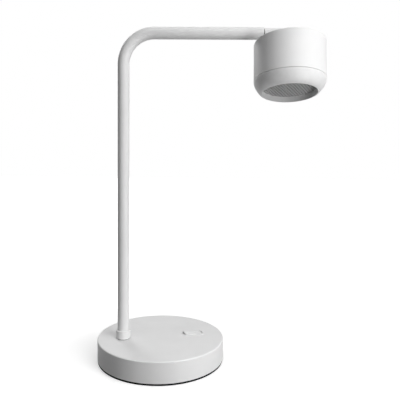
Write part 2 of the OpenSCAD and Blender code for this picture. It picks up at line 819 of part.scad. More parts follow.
// Bent tube: stem, bend and arm in one
module stem_tube() {
    color("#ededec") in_arm() difference() {
        union() {
            translate([0, 0, tube_foot_z])
                cylinder(r = tube_r, h = axis_z - bend_r - tube_foot_z, $fn = fine);
            translate([bend_r, 0, axis_z - bend_r]) quarter_bar(bend_r, tube_r, 90);
            translate([0, 0, axis_z]) x_bar(tube_r, bend_r, arm_l - tube_chamfer);
            translate([arm_l - tube_chamfer, 0, axis_z]) rotate([0, 90, 0])
                cylinder(r1 = tube_r, r2 = tube_r - tube_chamfer, h = tube_chamfer, $fn = small);
        }
        translate([0, 0, tube_foot_z - 1])
            cylinder(r = tube_bore_r, h = axis_z - bend_r - tube_foot_z + 1, $fn = fine);
        translate([bend_r, 0, axis_z - bend_r]) quarter_bar(bend_r, tube_bore_r, 90);
        translate([0, 0, axis_z]) x_bar(tube_bore_r, bend_r, arm_l + 1);
    }
}

// Collar round the foot of the stem, with a floor that the tube stands on
module stem_collar() {
    r = collar_d / 2;
    top = collar_z + collar_h;
    color("#ededec") at_stem() rotate_extrude($fn = fine) union() {
        polygon([
            [tube_r + seat_fit, collar_z], [r - collar_chamfer / 2, collar_z],
            [r, collar_z + collar_chamfer / 2], [r, top - collar_chamfer],
            [r - collar_chamfer, top], [tube_r + seat_fit, top]
        ]);
        translate([spigot_r + seat_fit, collar_z]) square([r - 1 - spigot_r - seat_fit, collar_floor]);
    }
}

// Spigot: a plug in the tube and a pin that turns in the bush, drilled for the lead
module stem_spigot() {
    color("#b9bcc0") in_arm() difference() {
        union() {
            translate([0, 0, spigot_foot_z])
                cylinder(r = spigot_r, h = tube_foot_z - spigot_foot_z, $fn = fine);
            translate([0, 0, tube_foot_z]) cylinder(r = tube_bore_r - seat_fit, h = plug_l, $fn = fine);
        }
        translate([0, 0, spigot_foot_z - 1])
            cylinder(r = lead_bore_r, h = tube_foot_z + plug_l - spigot_foot_z + 2, $fn = small);
        translate([spigot_r - flat_depth, -spigot_r, spigot_foot_z - 1])
            cube([spigot_d, spigot_d, stop_z + stop_t - spigot_foot_z + 1]);
    }
}

// Washer keyed to the spigot's flat, with a broad tongue that meets the stop post
module stop_washer() {
    color("#9a9da0") in_arm() translate([0, 0, stop_z]) linear_extrude(stop_t) difference() {
        union() {
            circle(stop_hub_r, $fn = fine);
            intersection() {
                circle(stop_r, $fn = fine);
                wedge(stop_half, 2 * stop_r);
            }
        }
        difference() {
            circle(spigot_r + seat_fit, $fn = fine);
            translate([spigot_r + seat_fit - flat_depth, -spigot_r]) square(spigot_d);
        }
    }
}

// Sprung cone washer that sets the swivel's drag
module cone_washer() {
    r0 = spigot_r + 2 * run_fit;
    color("#9a9da0") at_stem() translate([0, 0, cone_z]) rotate_extrude($fn = fine)
        polygon([[r0, cone_rise], [cone_r, 0], [cone_r, cone_t], [r0, cone_rise + cone_t]]);
}

// Nut under the stem
module stem_nut() {
    color("#b9bcc0") in_arm() translate([0, 0, stem_nut_z])
        hex_nut(stem_nut_flats, stem_nut_t, spigot_r + seat_fit);
}

// Lead inside the stem and the arm
module stem_lead() {
    color("#2b2b2b") in_arm() union() {
        translate([0, 0, spigot_foot_z + lead_break])
            cylinder(r = lead_r, h = axis_z - bend_r - spigot_foot_z - lead_break, $fn = small);
        translate([bend_r, 0, axis_z - bend_r]) quarter_bar(bend_r, lead_r, 90);
        translate([0, 0, axis_z]) x_bar(lead_r, bend_r, arm_l + (swivel_gap - lead_break) / 2);
    }
}

// ---- Head swivel ----

// Sleeve in the arm's end, cut away at its inner end for the shaft's stop
module arm_bush() {
    color("#d8d4c8") in_arm() translate([0, 0, axis_z]) difference() {
        x_pipe(shaft_r + run_fit, tube_bore_r - seat_fit, arm_bush_x, arm_l);
        translate([arm_bush_x - 1, 0, 0]) rotate([0, 90, 0])
            linear_extrude(stop_slot_l + 1) wedge(arm_stop_half, 2 * tube_r);
    }
}

// Dark washer in the groove between the arm and the elbow
module arm_washer() {
    color("#1c1c1c") in_arm() translate([0, 0, axis_z])
        x_pipe(shaft_r + seat_fit, elbow_r - 1, arm_l, elbow_x);
}

// Hollow shaft of the head swivel
module swivel_shaft() {
    color("#b9bcc0") in_arm() translate([0, 0, axis_z]) difference() {
        x_bar(shaft_r, shaft_foot_x, elbow_x + shaft_in_elbow);
        x_bar(lead_bore_r, shaft_foot_x - 1, elbow_x + shaft_in_elbow + 1);
        stop_pin(shaft_stop_r + seat_fit, lead_bore_r - bite);
    }
}

// Pin that stands out of the shaft, straight down when the head hangs straight down
module stop_pin(r, from) {
    rotate([-head_tilt, 0, 0]) translate([shaft_stop_x, 0, -shaft_stop_reach])
        cylinder(r = r, h = shaft_stop_reach - from, $fn = small);
}

// Stop pin of the head swivel
module shaft_stop() {
    color("#9a9da0") in_arm() translate([0, 0, axis_z]) stop_pin(shaft_stop_r, lead_bore_r + tip_gap);
}

// Sprung washer behind the bush
module shaft_washer() {
    color("#9a9da0") in_arm() translate([0, 0, axis_z])
        x_pipe(shaft_r + seat_fit, tube_bore_r - swivel_clear, arm_bush_x - shaft_washer_t, arm_bush_x);
}

// Nut on the inner end of the shaft
module shaft_nut() {
    color("#b9bcc0") in_head() translate([arm_bush_x - shaft_washer_t - shaft_nut_t - head_at, 0, 0])
        rotate([0, 90, 0]) hex_nut(shaft_nut_flats, shaft_nut_t, shaft_r + seat_fit);
}

// Cast elbow: a stub in line with the arm, a tight bend and a neck into the head
module swivel_elbow() {
    stub_x = elbow_x - head_at;
    color("#ededec") in_head() difference() {
        union() {
            x_bar(elbow_r, stub_x, -elbow_bend_r);
            translate([-elbow_bend_r, 0, -elbow_bend_r]) quarter_bar(elbow_bend_r, elbow_r, 0);
            translate([0, 0, head_top_z]) cylinder(r = elbow_r, h = head_drop - elbow_bend_r, $fn = small);
            translate([0, 0, head_top_z]) cylinder(r = neck_flange_r, h = neck_flange_t, $fn = small);
            translate([0, 0, neck_foot_z])
                cylinder(r = neck_r, h = head_top_z - neck_foot_z + 1, $fn = small);
        }
        x_bar(shaft_r + seat_fit, stub_x - 1, stub_x + shaft_in_elbow);
        x_bar(lead_bore_r, stub_x, -elbow_bend_r);
        translate([-elbow_bend_r, 0, -elbow_bend_r]) quarter_bar(elbow_bend_r, lead_bore_r, 0);
        translate([0, 0, neck_foot_z - 1])
            cylinder(r = lead_bore_r, h = -elbow_bend_r - neck_foot_z + 1, $fn = small);
    }
}

// Washer under the head's top
module neck_washer() {
    color("#9a9da0") in_head()
        ring(neck_r + seat_fit, neck_nut_flats / 2 + 1, head_ceiling - neck_washer_t, head_ceiling);
}

// Nut that holds the head to the neck
module neck_nut() {
    color("#b9bcc0") in_head() translate([0, 0, head_ceiling - neck_washer_t - neck_nut_t])
        hex_nut(neck_nut_flats, neck_nut_t, neck_r + seat_fit);
}

// ---- Head ----

// Drum-shaped shell of the head, with three bosses inside
module head_shell() {
    color("#f0f0ef") in_head() difference() {
        union() {
            rotate_extrude($fn = fine) intersection() {
                head_section();
                translate([0, seam_z]) square([head_d, head_shell_h]);
            }
            for (a = boss_angles) rotate([0, 0, a]) translate([boss_at, 0, sink_z])
                cylinder(r = boss_r, h = head_ceiling - sink_z + bite, $fn = small);
        }
        translate([0, 0, head_ceiling - 1]) cylinder(r = neck_r + seat_fit, h = head_top_t + 2, $fn = small);
        for (a = boss_angles) rotate([0, 0, a]) translate([boss_at, 0, sink_z - 1])
            cylinder(d = screw_d + 2 * seat_fit, h = boss_bite + 1 + tip_gap, $fn = small);
    }
}

// Half section of the head shell
module head_section() {
    difference() {
        union() {
            translate([0, seam_z]) square([head_r, head_shell_h - head_edge_r]);
            translate([0, seam_z]) square([head_r - head_edge_r, head_shell_h]);
            translate([head_r - head_edge_r, head_top_z - head_edge_r]) circle(head_edge_r, $fn = small);
        }
        translate([-1, seam_z - 1]) square([head_bore_r + 1, head_shell_h - head_top_t + 1]);
    }
}

// Finned plate that carries the light source and takes its heat
module heat_sink() {
    rows = floor(fin_span_r / fin_pitch);
    color("#c4c6c9") in_head() difference() {
        union() {
            translate([0, 0, sink_under]) cylinder(r = sink_r, h = sink_t, $fn = fine);
            intersection() {
                for (i = [-rows:rows]) translate([-sink_r, i * fin_pitch - fin_t / 2, sink_z - bite])
                    cube([2 * sink_r, fin_t, fin_h + bite]);
                translate([0, 0, sink_z - 1]) cylinder(r = fin_span_r, h = fin_h + 2, $fn = fine);
            }
        }
        translate([0, 0, sink_z]) cylinder(r = fin_clear_r, h = fin_h + 1, $fn = fine);
        translate([lead_drop_x, 0, sink_under - 1]) cylinder(r = lead_bore_r, h = sink_t + 2, $fn = small);
        for (a = boss_angles) rotate([0, 0, a]) {
            translate([boss_at, 0, sink_under - 1])
                cylinder(d = screw_d + 2 * seat_fit, h = sink_t + 2, $fn = small);
            translate([led_screw_at, 0, sink_under - 1])
                cylinder(d = board_screw_d + 2 * seat_fit, h = 1 + sink_t / 2 + tip_gap, $fn = small);
        }
    }
}

// Screws from the heat sink into the shell's bosses
module sink_screws() {
    color("#5c5f62") in_head() for (a = boss_angles) rotate([0, 0, a]) translate([boss_at, 0, sink_under])
        mirror([0, 0, 1]) pan_screw(screw_d, screw_head_d, sink_screw_head_t, sink_t + boss_bite);
}

// Round board of the light source
module led_board() {
    color("#e8e8e4") in_head() difference() {
        translate([0, 0, led_face_z]) cylinder(d = led_board_d, h = led_board_t, $fn = fine);
        translate([lead_drop_x, 0, led_face_z - 1])
            cylinder(r = lead_bore_r, h = led_board_t + 2, $fn = small);
        for (a = boss_angles) rotate([0, 0, a]) translate([led_screw_at, 0, led_face_z - 1])
            cylinder(d = board_screw_d + 2 * seat_fit, h = led_board_t + 2, $fn = small);
    }
}

// Light source
module led_chip() {
    color("#e8c860") in_head() translate([0, 0, led_face_z - chip_t])
        cylinder(d = chip_d, h = chip_t, $fn = fine);
}

// Screws of the light source's board
module led_screws() {
    length = led_board_t + sink_t / 2;
    color("#5c5f62") in_head() for (a = boss_angles) rotate([0, 0, a])
        translate([led_screw_at, 0, led_face_z]) mirror([0, 0, 1])
            pan_screw(board_screw_d, led_screw_head_d, led_screw_head_t, length);
}

// Lead through the elbow and the heat sink to the light source's board
module head_lead() {
    start_x = elbow_x - (swivel_gap - lead_break) / 2 - head_at;
    end_x = lead_drop_x - lead_bend_r;
    color("#2b2b2b") in_head() union() {
        x_bar(lead_r, start_x, -elbow_bend_r);
        translate([-elbow_bend_r, 0, -elbow_bend_r]) quarter_bar(elbow_bend_r, lead_r, 0);
        translate([0, 0, lead_turn_z]) cylinder(r = lead_r, h = -elbow_bend_r - lead_turn_z, $fn = small);
        translate([lead_bend_r, 0, lead_turn_z]) quarter_bar(lead_bend_r, lead_r, 180);
        translate([0, 0, lead_turn_z - lead_bend_r]) x_bar(lead_r, lead_bend_r, end_x);
        translate([end_x, 0, lead_turn_z - 2 * lead_bend_r]) quarter_bar(lead_bend_r, lead_r, 0);
        translate([lead_drop_x, 0, led_face_z])
            cylinder(r = lead_r, h = lead_turn_z - 2 * lead_bend_r - led_face_z, $fn = small);
    }
}

// Reflector: a straight-sided bell with a seat at each end
module reflector() {
    foot = flange_z + flange_t;
    seat = led_face_z - reflector_t;
    color("#d6d8da") in_head() rotate_extrude($fn = fine) polygon([
        [reflector_top_r, led_face_z], [reflector_ring_r, led_face_z],
        [reflector_ring_r, seat], [reflector_top_r + reflector_wall, seat],
        [optics_r - 2, foot], [optics_r, foot], [optics_r, flange_z],
        [optics_r - 2 - reflector_wall, flange_z], [reflector_top_r, seat]
    ]);
}

// Sprung ring that holds the optics in the bezel
module retaining_ring() {
    foot = flange_z + flange_t;
    color("#9a9da0") in_head() ring(optics_r - ring_in, ring_groove_r, foot, foot + ring_t);
}

// Frosted lens
module lens() {
    color("#f4f4f0") in_head() translate([0, 0, lens_z]) cylinder(r = optics_r, h = lens_t, $fn = fine);
}

// Honeycomb louver
module louver() {
    row = cell_pitch * sin(60);
    cell_r = (cell_pitch - cell_wall) / 2 / cos(30);
    reach = optics_r - louver_rim - cell_r;
    n = ceil(reach / row);
    color("#b4b7ba") in_head() translate([0, 0, louver_z]) linear_extrude(louver_t) difference() {
        circle(optics_r, $fn = fine);
        for (j = [-n:n], i = [-n - 1:n + 1]) {
            x = (i + (j % 2 == 0 ? 0 : 0.5)) * cell_pitch;
            if (norm([x, j * row]) < reach) translate([x, j * row]) rotate(30) circle(cell_r, $fn = 6);
        }
    }
}

// Half section of the bezel: a sleeve in the shell, the seam groove and the rounded lip
module bezel_section() {
    difference() {
        union() {
            translate([0, seam_z]) square([sleeve_r, sleeve_top - seam_z]);
            translate([0, seam_z - seam_w]) square([head_r - seam_w, seam_w]);
            translate([0, mouth_z + lip_r]) square([head_r, seam_z - seam_w - mouth_z - lip_r]);
            translate([0, mouth_z]) square([head_r - lip_r, lip_r + 1]);
            translate([head_r - lip_r, mouth_z + lip_r]) circle(lip_r, $fn = fine);
        }
        translate([-1, mouth_z - 1]) square([mouth_r + 1, sleeve_top - mouth_z + 2]);
        translate([-1, louver_z]) square([optics_r + optics_gap + 1, sleeve_top - louver_z + 1]);
        translate([-1, flange_z + flange_t]) square([ring_groove_r + 1, ring_t]);
    }
}

// Bezel with the mouth
module bezel() {
    color("#f0f0ef") in_head() rotate_extrude($fn = fine) intersection() {
        bezel_section();
        translate([0, mouth_z]) square([head_d, sleeve_top - mouth_z]);
    }
}

foot_pad();
base_cover();
cover_screws();
base_weight();
cover_posts();
base_shell();
switch_housing();
switch_rocker();
switch_contact();
switch_terminals();
switch_lead();
power_socket();
socket_pin();
socket_tabs();
socket_clamp();
clamp_screws();
socket_lead();
driver_board();
driver_coil();
driver_capacitors();
board_spacers();
board_screws();
base_lead();
swivel_bush();
collar_washer();
stop_post();
stem_tube();
stem_collar();
stem_spigot();
stop_washer();
cone_washer();
stem_nut();
stem_lead();
arm_bush();
arm_washer();
swivel_shaft();
shaft_stop();
shaft_washer();
shaft_nut();
swivel_elbow();
neck_washer();
neck_nut();
head_shell();
heat_sink();
sink_screws();
led_board();
led_chip();
led_screws();
head_lead();
reflector();
retaining_ring();
lens();
louver();
bezel();
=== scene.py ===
"""Looks of a desk lamp: a round weighted base, a bent tube that swivels on it and a drum-shaped head.

Sizes are in millimetres and are turned to metres where a mesh gets its place. The row frame has +Z up, its
origin under the middle of the base, and +X running from the stem to the switch.
"""

import logging
import math
from dataclasses import dataclass, replace
from enum import Enum
from functools import lru_cache
from typing import Callable, Iterable, Sequence

import bmesh
import bpy
from mathutils import Matrix, Vector


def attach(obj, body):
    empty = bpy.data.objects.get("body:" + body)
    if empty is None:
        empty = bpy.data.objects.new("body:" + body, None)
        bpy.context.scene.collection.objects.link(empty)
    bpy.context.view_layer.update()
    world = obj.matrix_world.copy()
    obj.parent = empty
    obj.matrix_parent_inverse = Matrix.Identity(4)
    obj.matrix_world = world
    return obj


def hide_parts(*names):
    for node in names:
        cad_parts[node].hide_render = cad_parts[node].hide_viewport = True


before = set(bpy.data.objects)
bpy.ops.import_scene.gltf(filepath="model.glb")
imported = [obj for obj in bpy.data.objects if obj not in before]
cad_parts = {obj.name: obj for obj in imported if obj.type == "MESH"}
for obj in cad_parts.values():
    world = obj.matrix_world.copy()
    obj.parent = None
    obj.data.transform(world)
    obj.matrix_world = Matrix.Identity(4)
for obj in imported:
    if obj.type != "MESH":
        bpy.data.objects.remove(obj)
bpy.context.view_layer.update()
LOG = logging.getLogger("lamp")

MM = 0.001
FULL_TURN = 2 * math.pi
RIGHT_ANGLE = math.pi / 2
# Two places nearer than this, in millimetres, count as one.
CLOSE = 1e-3
# The colour sockets of a Mix node share their names with its other sockets, so they go by number.
MIX_SHARE = "0"
MIX_FIRST = "6"
MIX_SECOND = "7"
MIX_RESULT = 2

Point = tuple[float, float]
Range = tuple[float, float]
Colour = tuple[float, float, float, float]
Tree = bpy.types.NodeTree
Socket = bpy.types.NodeSocket
Shape = bmesh.types.BMesh
Edge = bmesh.types.BMEdge


class Body(Enum):
    """The rigid bodies that pieces ride on."""

    BASE = "base"
    ROCKER = "rocker"
    STEM = "stem"
    HEAD = "head"


# ---------------------------------------------------------------- places


@dataclass(frozen=True)
class Pose:
    """How the lamp stands: where its swivels are and how far they are turned, in millimetres and degrees."""

    stem_x: float = -48.0
    arm_turn: float = -13.6
    axis_z: float = 404.0
    head_at: float = 199.0
    head_tilt: float = 8.9

    def row(self) -> Matrix:
        """Millimetres in the row frame to metres."""
        return Matrix.Scale(MM, 4)

    def arm(self) -> Matrix:
        """Millimetres in the arm's frame, with X along the arm from the stem's axis, to metres."""
        turn = Matrix.Rotation(math.radians(self.arm_turn), 4, "Z")
        return self.row() @ Matrix.Translation((self.stem_x, 0, 0)) @ turn

    def head(self) -> Matrix:
        """Millimetres in the head's frame, with the arm's axis at z = 0, to metres."""
        tip = Matrix.Rotation(math.radians(-self.head_tilt), 4, "X")
        return self.arm() @ Matrix.Translation((self.head_at, 0, self.axis_z)) @ tip


POSE = Pose()


# ---------------------------------------------------------------- node materials


def linear(hex_colour: str) -> Colour:
    """Turns an sRGB colour to the linear values that a shader takes.

    Args:
        hex_colour: Six hex digits.

    Returns:
        Red, green, blue and an alpha of 1.
    """
    channels = [int(hex_colour[i : i + 2], 16) / 255 for i in (0, 2, 4)]
    flat = [c / 12.92 if c <= 0.04045 else ((c + 0.055) / 1.055) ** 2.4 for c in channels]
    return (flat[0], flat[1], flat[2], 1.0)


def add_node(
    tree: Tree,
    kind: str,
    settings: dict[str, object] | None = None,
    links: dict[str, Socket] | None = None,
) -> bpy.types.Node:
    """Adds a node, sets it and links its inputs.

    Args:
        tree: The node tree.
        kind: The node's type without the ShaderNode prefix.
        settings: Values by name or number, each an attribute of the node or else one of its inputs.
        links: Output sockets by the name or number of the input that each one feeds.

    Returns:
        The new node.
    """
    made = tree.nodes.new("ShaderNode" + kind)
    for name, value in (settings or {}).items():
        if hasattr(made, name):
            setattr(made, name, value)
        else:
            made.inputs[int(name) if name.isdigit() else name].default_value = value
    for name, socket in (links or {}).items():
        tree.links.new(socket, made.inputs[int(name) if name.isdigit() else name])
    return made


class Texture(Enum):
    """What a pattern is drawn with: a texture node, the output that is read and the settings of its kind."""

    NOISE = ("TexNoise", "Fac", {"Roughness": 0.55})
    PEBBLES = ("TexVoronoi", "Distance", {})
    CRYSTALS = ("TexVoronoi", "Color", {})
    TRACKS = ("TexVoronoi", "Distance", {"feature": "DISTANCE_TO_EDGE"})
    RINGS = ("TexWave", "Fac", {"bands_direction": "Z", "Distortion": 0.4})


@dataclass(frozen=True)
class Pattern:
    """A grey pattern on Object coordinates.

    Its features are about size_mm across and have finer layers in them, as many as the detail says. A stretch
    over 1 draws them out along X. The span holds the two greys between which the pattern is put to use, and a
    stepped pattern is flat past them in relief too.
    """

    size_mm: float
    detail: float = 2.0
    texture: Texture = Texture.NOISE
    span: Range = (0.3, 0.7)
    stepped: bool = False
    stretch: float = 1.0

    def grey(self, tree: Tree) -> Socket:
        """Adds the bare pattern.

        Args:
            tree: The node tree.

        Returns:
            Its grey value.
        """
        place = add_node(tree, "TexCoord").outputs["Object"]
        if self.stretch != 1.0:
            squeeze = {"Scale": (1.0 / self.stretch, 1.0, 1.0)}
            place = add_node(tree, "Mapping", squeeze, {"Vector": place}).outputs["Vector"]
        kind, output, settings = self.texture.value
        settings = {"Scale": 1.0 / (self.size_mm * MM), "Detail": self.detail, **settings}
        return add_node(tree, kind, settings, {"Vector": place}).outputs[output]

    def spread(self, tree: Tree, low: float, high: float) -> Socket:
        """Spreads the pattern's span over a range of values.

        Args:
            tree: The node tree.
            low: The value at the span's first grey.
            high: The value at its second.

        Returns:
            The spread value.
        """
        settings = {"From Min": self.span[0], "From Max": self.span[1], "To Min": low, "To Max": high}
        return add_node(tree, "MapRange", settings, {"Value": self.grey(tree)}).outputs["Result"]

    def height(self, tree: Tree) -> Socket:
        """The pattern as the height of a relief."""
        return self.spread(tree, 0.0, 1.0) if self.stepped else self.grey(tree)


@dataclass(frozen=True)
class Finish:
    """A surface finish: how its tone, shine and relief vary.

    The colour is the main one. The tone pattern goes from the first of the tones to the second, and the gloss
    pattern from the first roughness to the second. The reliefs are patterns with their depths in millimetres,
    the lowest first. The extras are other values of the shader, by name.
    """

    title: str
    colour: str
    roughness: Range
    tones: tuple[str, ...] = ()
    tone: Pattern | None = None
    gloss: Pattern | None = None
    reliefs: tuple[tuple[Pattern, float], ...] = ()
    metallic: float = 0.0
    extras: tuple[tuple[str, float], ...] = ()

    def build(self) -> bpy.types.Material:
        """Makes the Blender material.

        Returns:
            The material.
        """
        material = bpy.data.materials.new(self.title)
        material.use_nodes = True
        material.diffuse_color = linear(self.colour)
        tree = material.node_tree
        shader = tree.nodes["Principled BSDF"].inputs
        shader["Base Color"].default_value = linear(self.colour)
        shader["Roughness"].default_value = sum(self.roughness) / 2
        shader["Metallic"].default_value = self.metallic
        for name, value in self.extras:
            shader[name].default_value = value
        if self.tone:
            first, second = (linear(tone) for tone in self.tones)
            colours = {"data_type": "RGBA", MIX_FIRST: first, MIX_SECOND: second}
            mix = add_node(tree, "Mix", colours, {MIX_SHARE: self.tone.spread(tree, 0.0, 1.0)})
            tree.links.new(mix.outputs[MIX_RESULT], shader["Base Color"])
        if self.gloss:
            tree.links.new(self.gloss.spread(tree, *self.roughness), shader["Roughness"])
        below: dict[str, Socket] = {}
        for pattern, depth_mm in self.reliefs:
            depth = {"Strength": 1.0, "Distance": depth_mm * MM}
            bumps = add_node(tree, "Bump", depth, {"Height": pattern.height(tree), **below}).outputs["Normal"]
            tree.links.new(bumps, shader["Normal"])
            below = {"Normal": bumps}
        return material


@lru_cache(maxsize=None)
def material_of(finish: Finish) -> bpy.types.Material:
    """The one Blender material of a finish."""
    return finish.build()


# ---------------------------------------------------------------- finishes of this lamp

# Polyester powder coat baked on steel. The powder melts to a film that isn't quite flat: a shallow orange
# peel about 2 mm across breaks up the edge of each highlight, fine grit takes the shine down to satin, and
# patches are a little more matt. The real grit is near 0.05 mm; it is drawn ten times as coarse, which is
# the finest that still shows.
PEEL_DEPTH = 0.012
GRIT = (Pattern(0.5, detail=0.0), 0.004)
PATCHES = Pattern(60.0, detail=3.0)
WHITE_COAT = Finish(
    "white powder coat on the base",
    colour="EFEFEF",
    tones=("E8E8E8", "EFEFEF"),
    tone=PATCHES,
    gloss=PATCHES,
    roughness=(0.53, 0.61),
    reliefs=((Pattern(2.2, detail=1.0), PEEL_DEPTH), GRIT),
)

# The same coat on the tube, whose tight round shape draws the peel a little finer.
TUBE_COAT = replace(
    WHITE_COAT,
    title="white powder coat on the tube",
    reliefs=((Pattern(1.8, detail=1.0), PEEL_DEPTH), GRIT),
)

# The same coat on the head, a shade greyer: painted shade, which holds the head's lit side, nearer the right
# softbox than the rest, down to the brightness it was matched to.
HEAD_COAT_PAINTED_SHADE = replace(
    WHITE_COAT, title="white powder coat on the head", colour="EAEAEA", tones=("E4E4E4", "EAEAEA")
)

# The thin grey coat on the louver's honeycomb, which takes the glare off its walls.
LOUVER_PAINT = replace(
    WHITE_COAT,
    title="grey paint on the honeycomb",
    colour="C6C6C6",
    tones=("BABABA", "C6C6C6"),
    reliefs=((Pattern(1.0, detail=1.0), PEEL_DEPTH), GRIT),
)

# White ABS moulded in a spark-eroded tool. The tool leaves an even, very fine grain, so that highlights
# spread softly, and fingers polish it a little in places.
HANDLED = Pattern(7.0)
SWITCH_ABS = Finish(
    "white ABS rocker",
    colour="F0F0F0",
    tones=("E6E6E6", "F0F0F0"),
    tone=HANDLED,
    gloss=HANDLED,
    roughness=(0.28, 0.4),
    reliefs=((Pattern(0.45, detail=1.0), 0.006),),
    extras=(("IOR", 1.53),),
)

# The same ABS on the switch's frame, which is touched less.
FRAME_ABS = replace(
    SWITCH_ABS,
    title="white ABS switch frame",
    colour="EDEDED",
    tones=("E6E6E6", "EDEDED"),
    roughness=(0.32, 0.44),
)

# The same ABS on the bezel, as matt as the head's coat and greyed to the head's tone: painted shade, as on
# the head.
BEZEL_ABS_PAINTED_SHADE = replace(
    SWITCH_ABS, title="white ABS bezel", colour="EAEAEA", tones=("E4E4E4", "EAEAEA"), roughness=(0.42, 0.54)
)

# Pressed black rubber: dull, with a pebbled grain, and pale dust in patches.
PAD_RUBBER = Finish(
    "black rubber foot pad",
    colour="0E0E0E",
    tones=("0E0E0E", "161616"),
    tone=Pattern(14.0, detail=4.0, span=(0.55, 0.85)),
    gloss=Pattern(14.0, detail=4.0),
    roughness=(0.8, 0.9),
    reliefs=((Pattern(0.9, detail=0.0, texture=Texture.PEBBLES), 0.05),),
    extras=(("Specular IOR Level", 0.1),),
)

# Black glass-filled nylon, as in thrust washers: matt, with a faint flow pattern and a fine grain.
FLOW = Pattern(5.0, detail=3.0)
BLACK_NYLON = Finish(
    "black nylon",
    colour="1A1A1B",
    tones=("1A1A1B", "262627"),
    tone=FLOW,
    gloss=FLOW,
    roughness=(0.42, 0.6),
    reliefs=((Pattern(0.3, detail=1.0), 0.005),),
)

# The same nylon in the socket, a shade deeper.
SOCKET_NYLON = replace(
    BLACK_NYLON, title="black socket nylon", colour="161617", tones=("161617", "262627")
)

# Unfilled nylon, turned or moulded: a waxy cream with a cloudy tone and faint scuffs, that lets a little
# light in.
CREAM_NYLON = Finish(
    "natural nylon",
    colour="DDD8C8",
    tones=("D0CAB8", "DDD8C8"),
    tone=Pattern(6.0, detail=3.0),
    roughness=(0.45, 0.45),
    reliefs=((Pattern(0.4), 0.004),),
    extras=(("Subsurface Weight", 0.15), ("Subsurface Scale", 0.002)),
)

# The same nylon in the washer under the collar, given a grey that is partly painted shade: it stands in for
# the shadow in the thin gap between the collar and the base.
WASHER_NYLON_AND_GAP_SHADE = replace(CREAM_NYLON, title="grey nylon", colour="525251", tones=("464645", "525251"))

# Zinc-plated steel sheet: small cloudy crystals in tone and shine, and fine scratches from sorting.
CRYSTALS = Pattern(2.5, detail=0.0, texture=Texture.CRYSTALS)
ZINC = Finish(
    "zinc-plated sheet",
    colour="A6A9AC",
    tones=("8E9194", "A6A9AC"),
    tone=CRYSTALS,
    gloss=CRYSTALS,
    roughness=(0.26, 0.44),
    reliefs=((Pattern(0.6, detail=4.0), 0.006),),
    metallic=1.0,
)

# The same plating on screws: darker, with crystals that show in the shine alone.
SCREW_ZINC = replace(
    ZINC, title="zinc-plated screw", colour="85888B", tone=None, gloss=replace(CRYSTALS, size_mm=1.2)
)

# Tempered spring steel, oiled and unplated: darker still, with a finer cloud in its shine.
SPRING_STEEL = replace(
    ZINC, title="tempered spring steel", colour="7C7F83", tone=None, gloss=replace(CRYSTALS, size_mm=1.0)
)

# Nickel-plated steel turned on a lathe: fine tool rings round the axis drag each highlight out into a fan,
# under a light oil haze. The feed of a real cut is about 0.1 mm; the rings are drawn 0.5 mm apart, so that
# they show, and the texture makes twenty of them in its size.
HAZE = Pattern(8.0, detail=3.0)
TURNED = Finish(
    "turned nickel-plated steel",
    colour="B8BABD",
    tones=("A5A7AA", "B8BABD"),
    tone=HAZE,
    gloss=HAZE,
    roughness=(0.2, 0.36),
    reliefs=((Pattern(10.0, texture=Texture.RINGS), 0.004),),
    metallic=1.0,
)

# Sand-cast iron, unpainted: dark grey, pitted by the sand, with a brown bloom here and there.
SAND = Pattern(1.3, detail=5.0)
IRON = Finish(
    "sand-cast iron",
    colour="4A4A4B",
    tones=("4A4A4B", "5A4C42"),
    tone=Pattern(22.0, detail=4.0, span=(0.5, 0.8)),
    gloss=SAND,
    roughness=(0.6, 0.85),
    reliefs=((SAND, 0.12),),
    metallic=0.7,
)

# Stamped brass sheet: warm, bright on top and dulled by handling, with the mill's rolling marks.
TARNISH = Pattern(3.0, detail=3.0)
BRASS = Finish(
    "stamped brass",
    colour="C9A24E",
    tones=("A07F3C", "C9A24E"),
    tone=TARNISH,
    gloss=TARNISH,
    roughness=(0.45, 0.25),
    reliefs=((Pattern(0.5), 0.004),),
    metallic=1.0,
)

# Extruded PVC: soft satin black, scuffed here and there and slightly uneven.
SHEATH = Finish(
    "black PVC sheath",
    colour="1D1D1E",
    tones=("1D1D1E", "2E2E2F"),
    tone=Pattern(2.5, detail=4.0, span=(0.5, 0.8)),
    gloss=Pattern(2.5, detail=4.0),
    roughness=(0.36, 0.55),
    reliefs=((Pattern(1.0, detail=1.0), 0.01),),
)

# Glass-epoxy board under green solder mask: tracks show as a paler, slightly raised network.
TRACKS = Pattern(3.2, detail=0.0, texture=Texture.TRACKS, span=(0.09, 0.05), stepped=True)
GREEN_BOARD = Finish(
    "green solder mask",
    colour="1F5A38",
    tones=("1F5A38", "3C7F52"),
    tone=TRACKS,
    gloss=Pattern(5.0),
    roughness=(0.25, 0.4),
    reliefs=((TRACKS, 0.03),),
)

# Sintered ferrite: charcoal and dull, with a grain like fine slate.
SINTER = Pattern(0.6, detail=4.0)
FERRITE = Finish(
    "sintered ferrite",
    colour="2C2C2E",
    tones=("222224", "3A3A3D"),
    tone=SINTER,
    gloss=SINTER,
    roughness=(0.5, 0.75),
    reliefs=((SINTER, 0.02),),
)

# Extruded aluminium: pale grey with a soft cloudy sheen and faint lines along the draw.
DRAW_LINES = Pattern(0.5, stretch=12.0)
SINK_ALUMINIUM = Finish(
    "extruded aluminium",
    colour="C3C5C8",
    tones=("B4B6B9", "C3C5C8"),
    tone=Pattern(12.0, detail=3.0),
    gloss=DRAW_LINES,
    roughness=(0.28, 0.46),
    reliefs=((DRAW_LINES, 0.004),),
    metallic=1.0,
)

# Aluminium deep-drawn to a can, whose fine grain runs no one way.
CAN_GRAIN = replace(DRAW_LINES, stretch=1.0)
CAN_ALUMINIUM = replace(
    SINK_ALUMINIUM, title="drawn aluminium can", gloss=CAN_GRAIN, reliefs=((CAN_GRAIN, 0.004),)
)

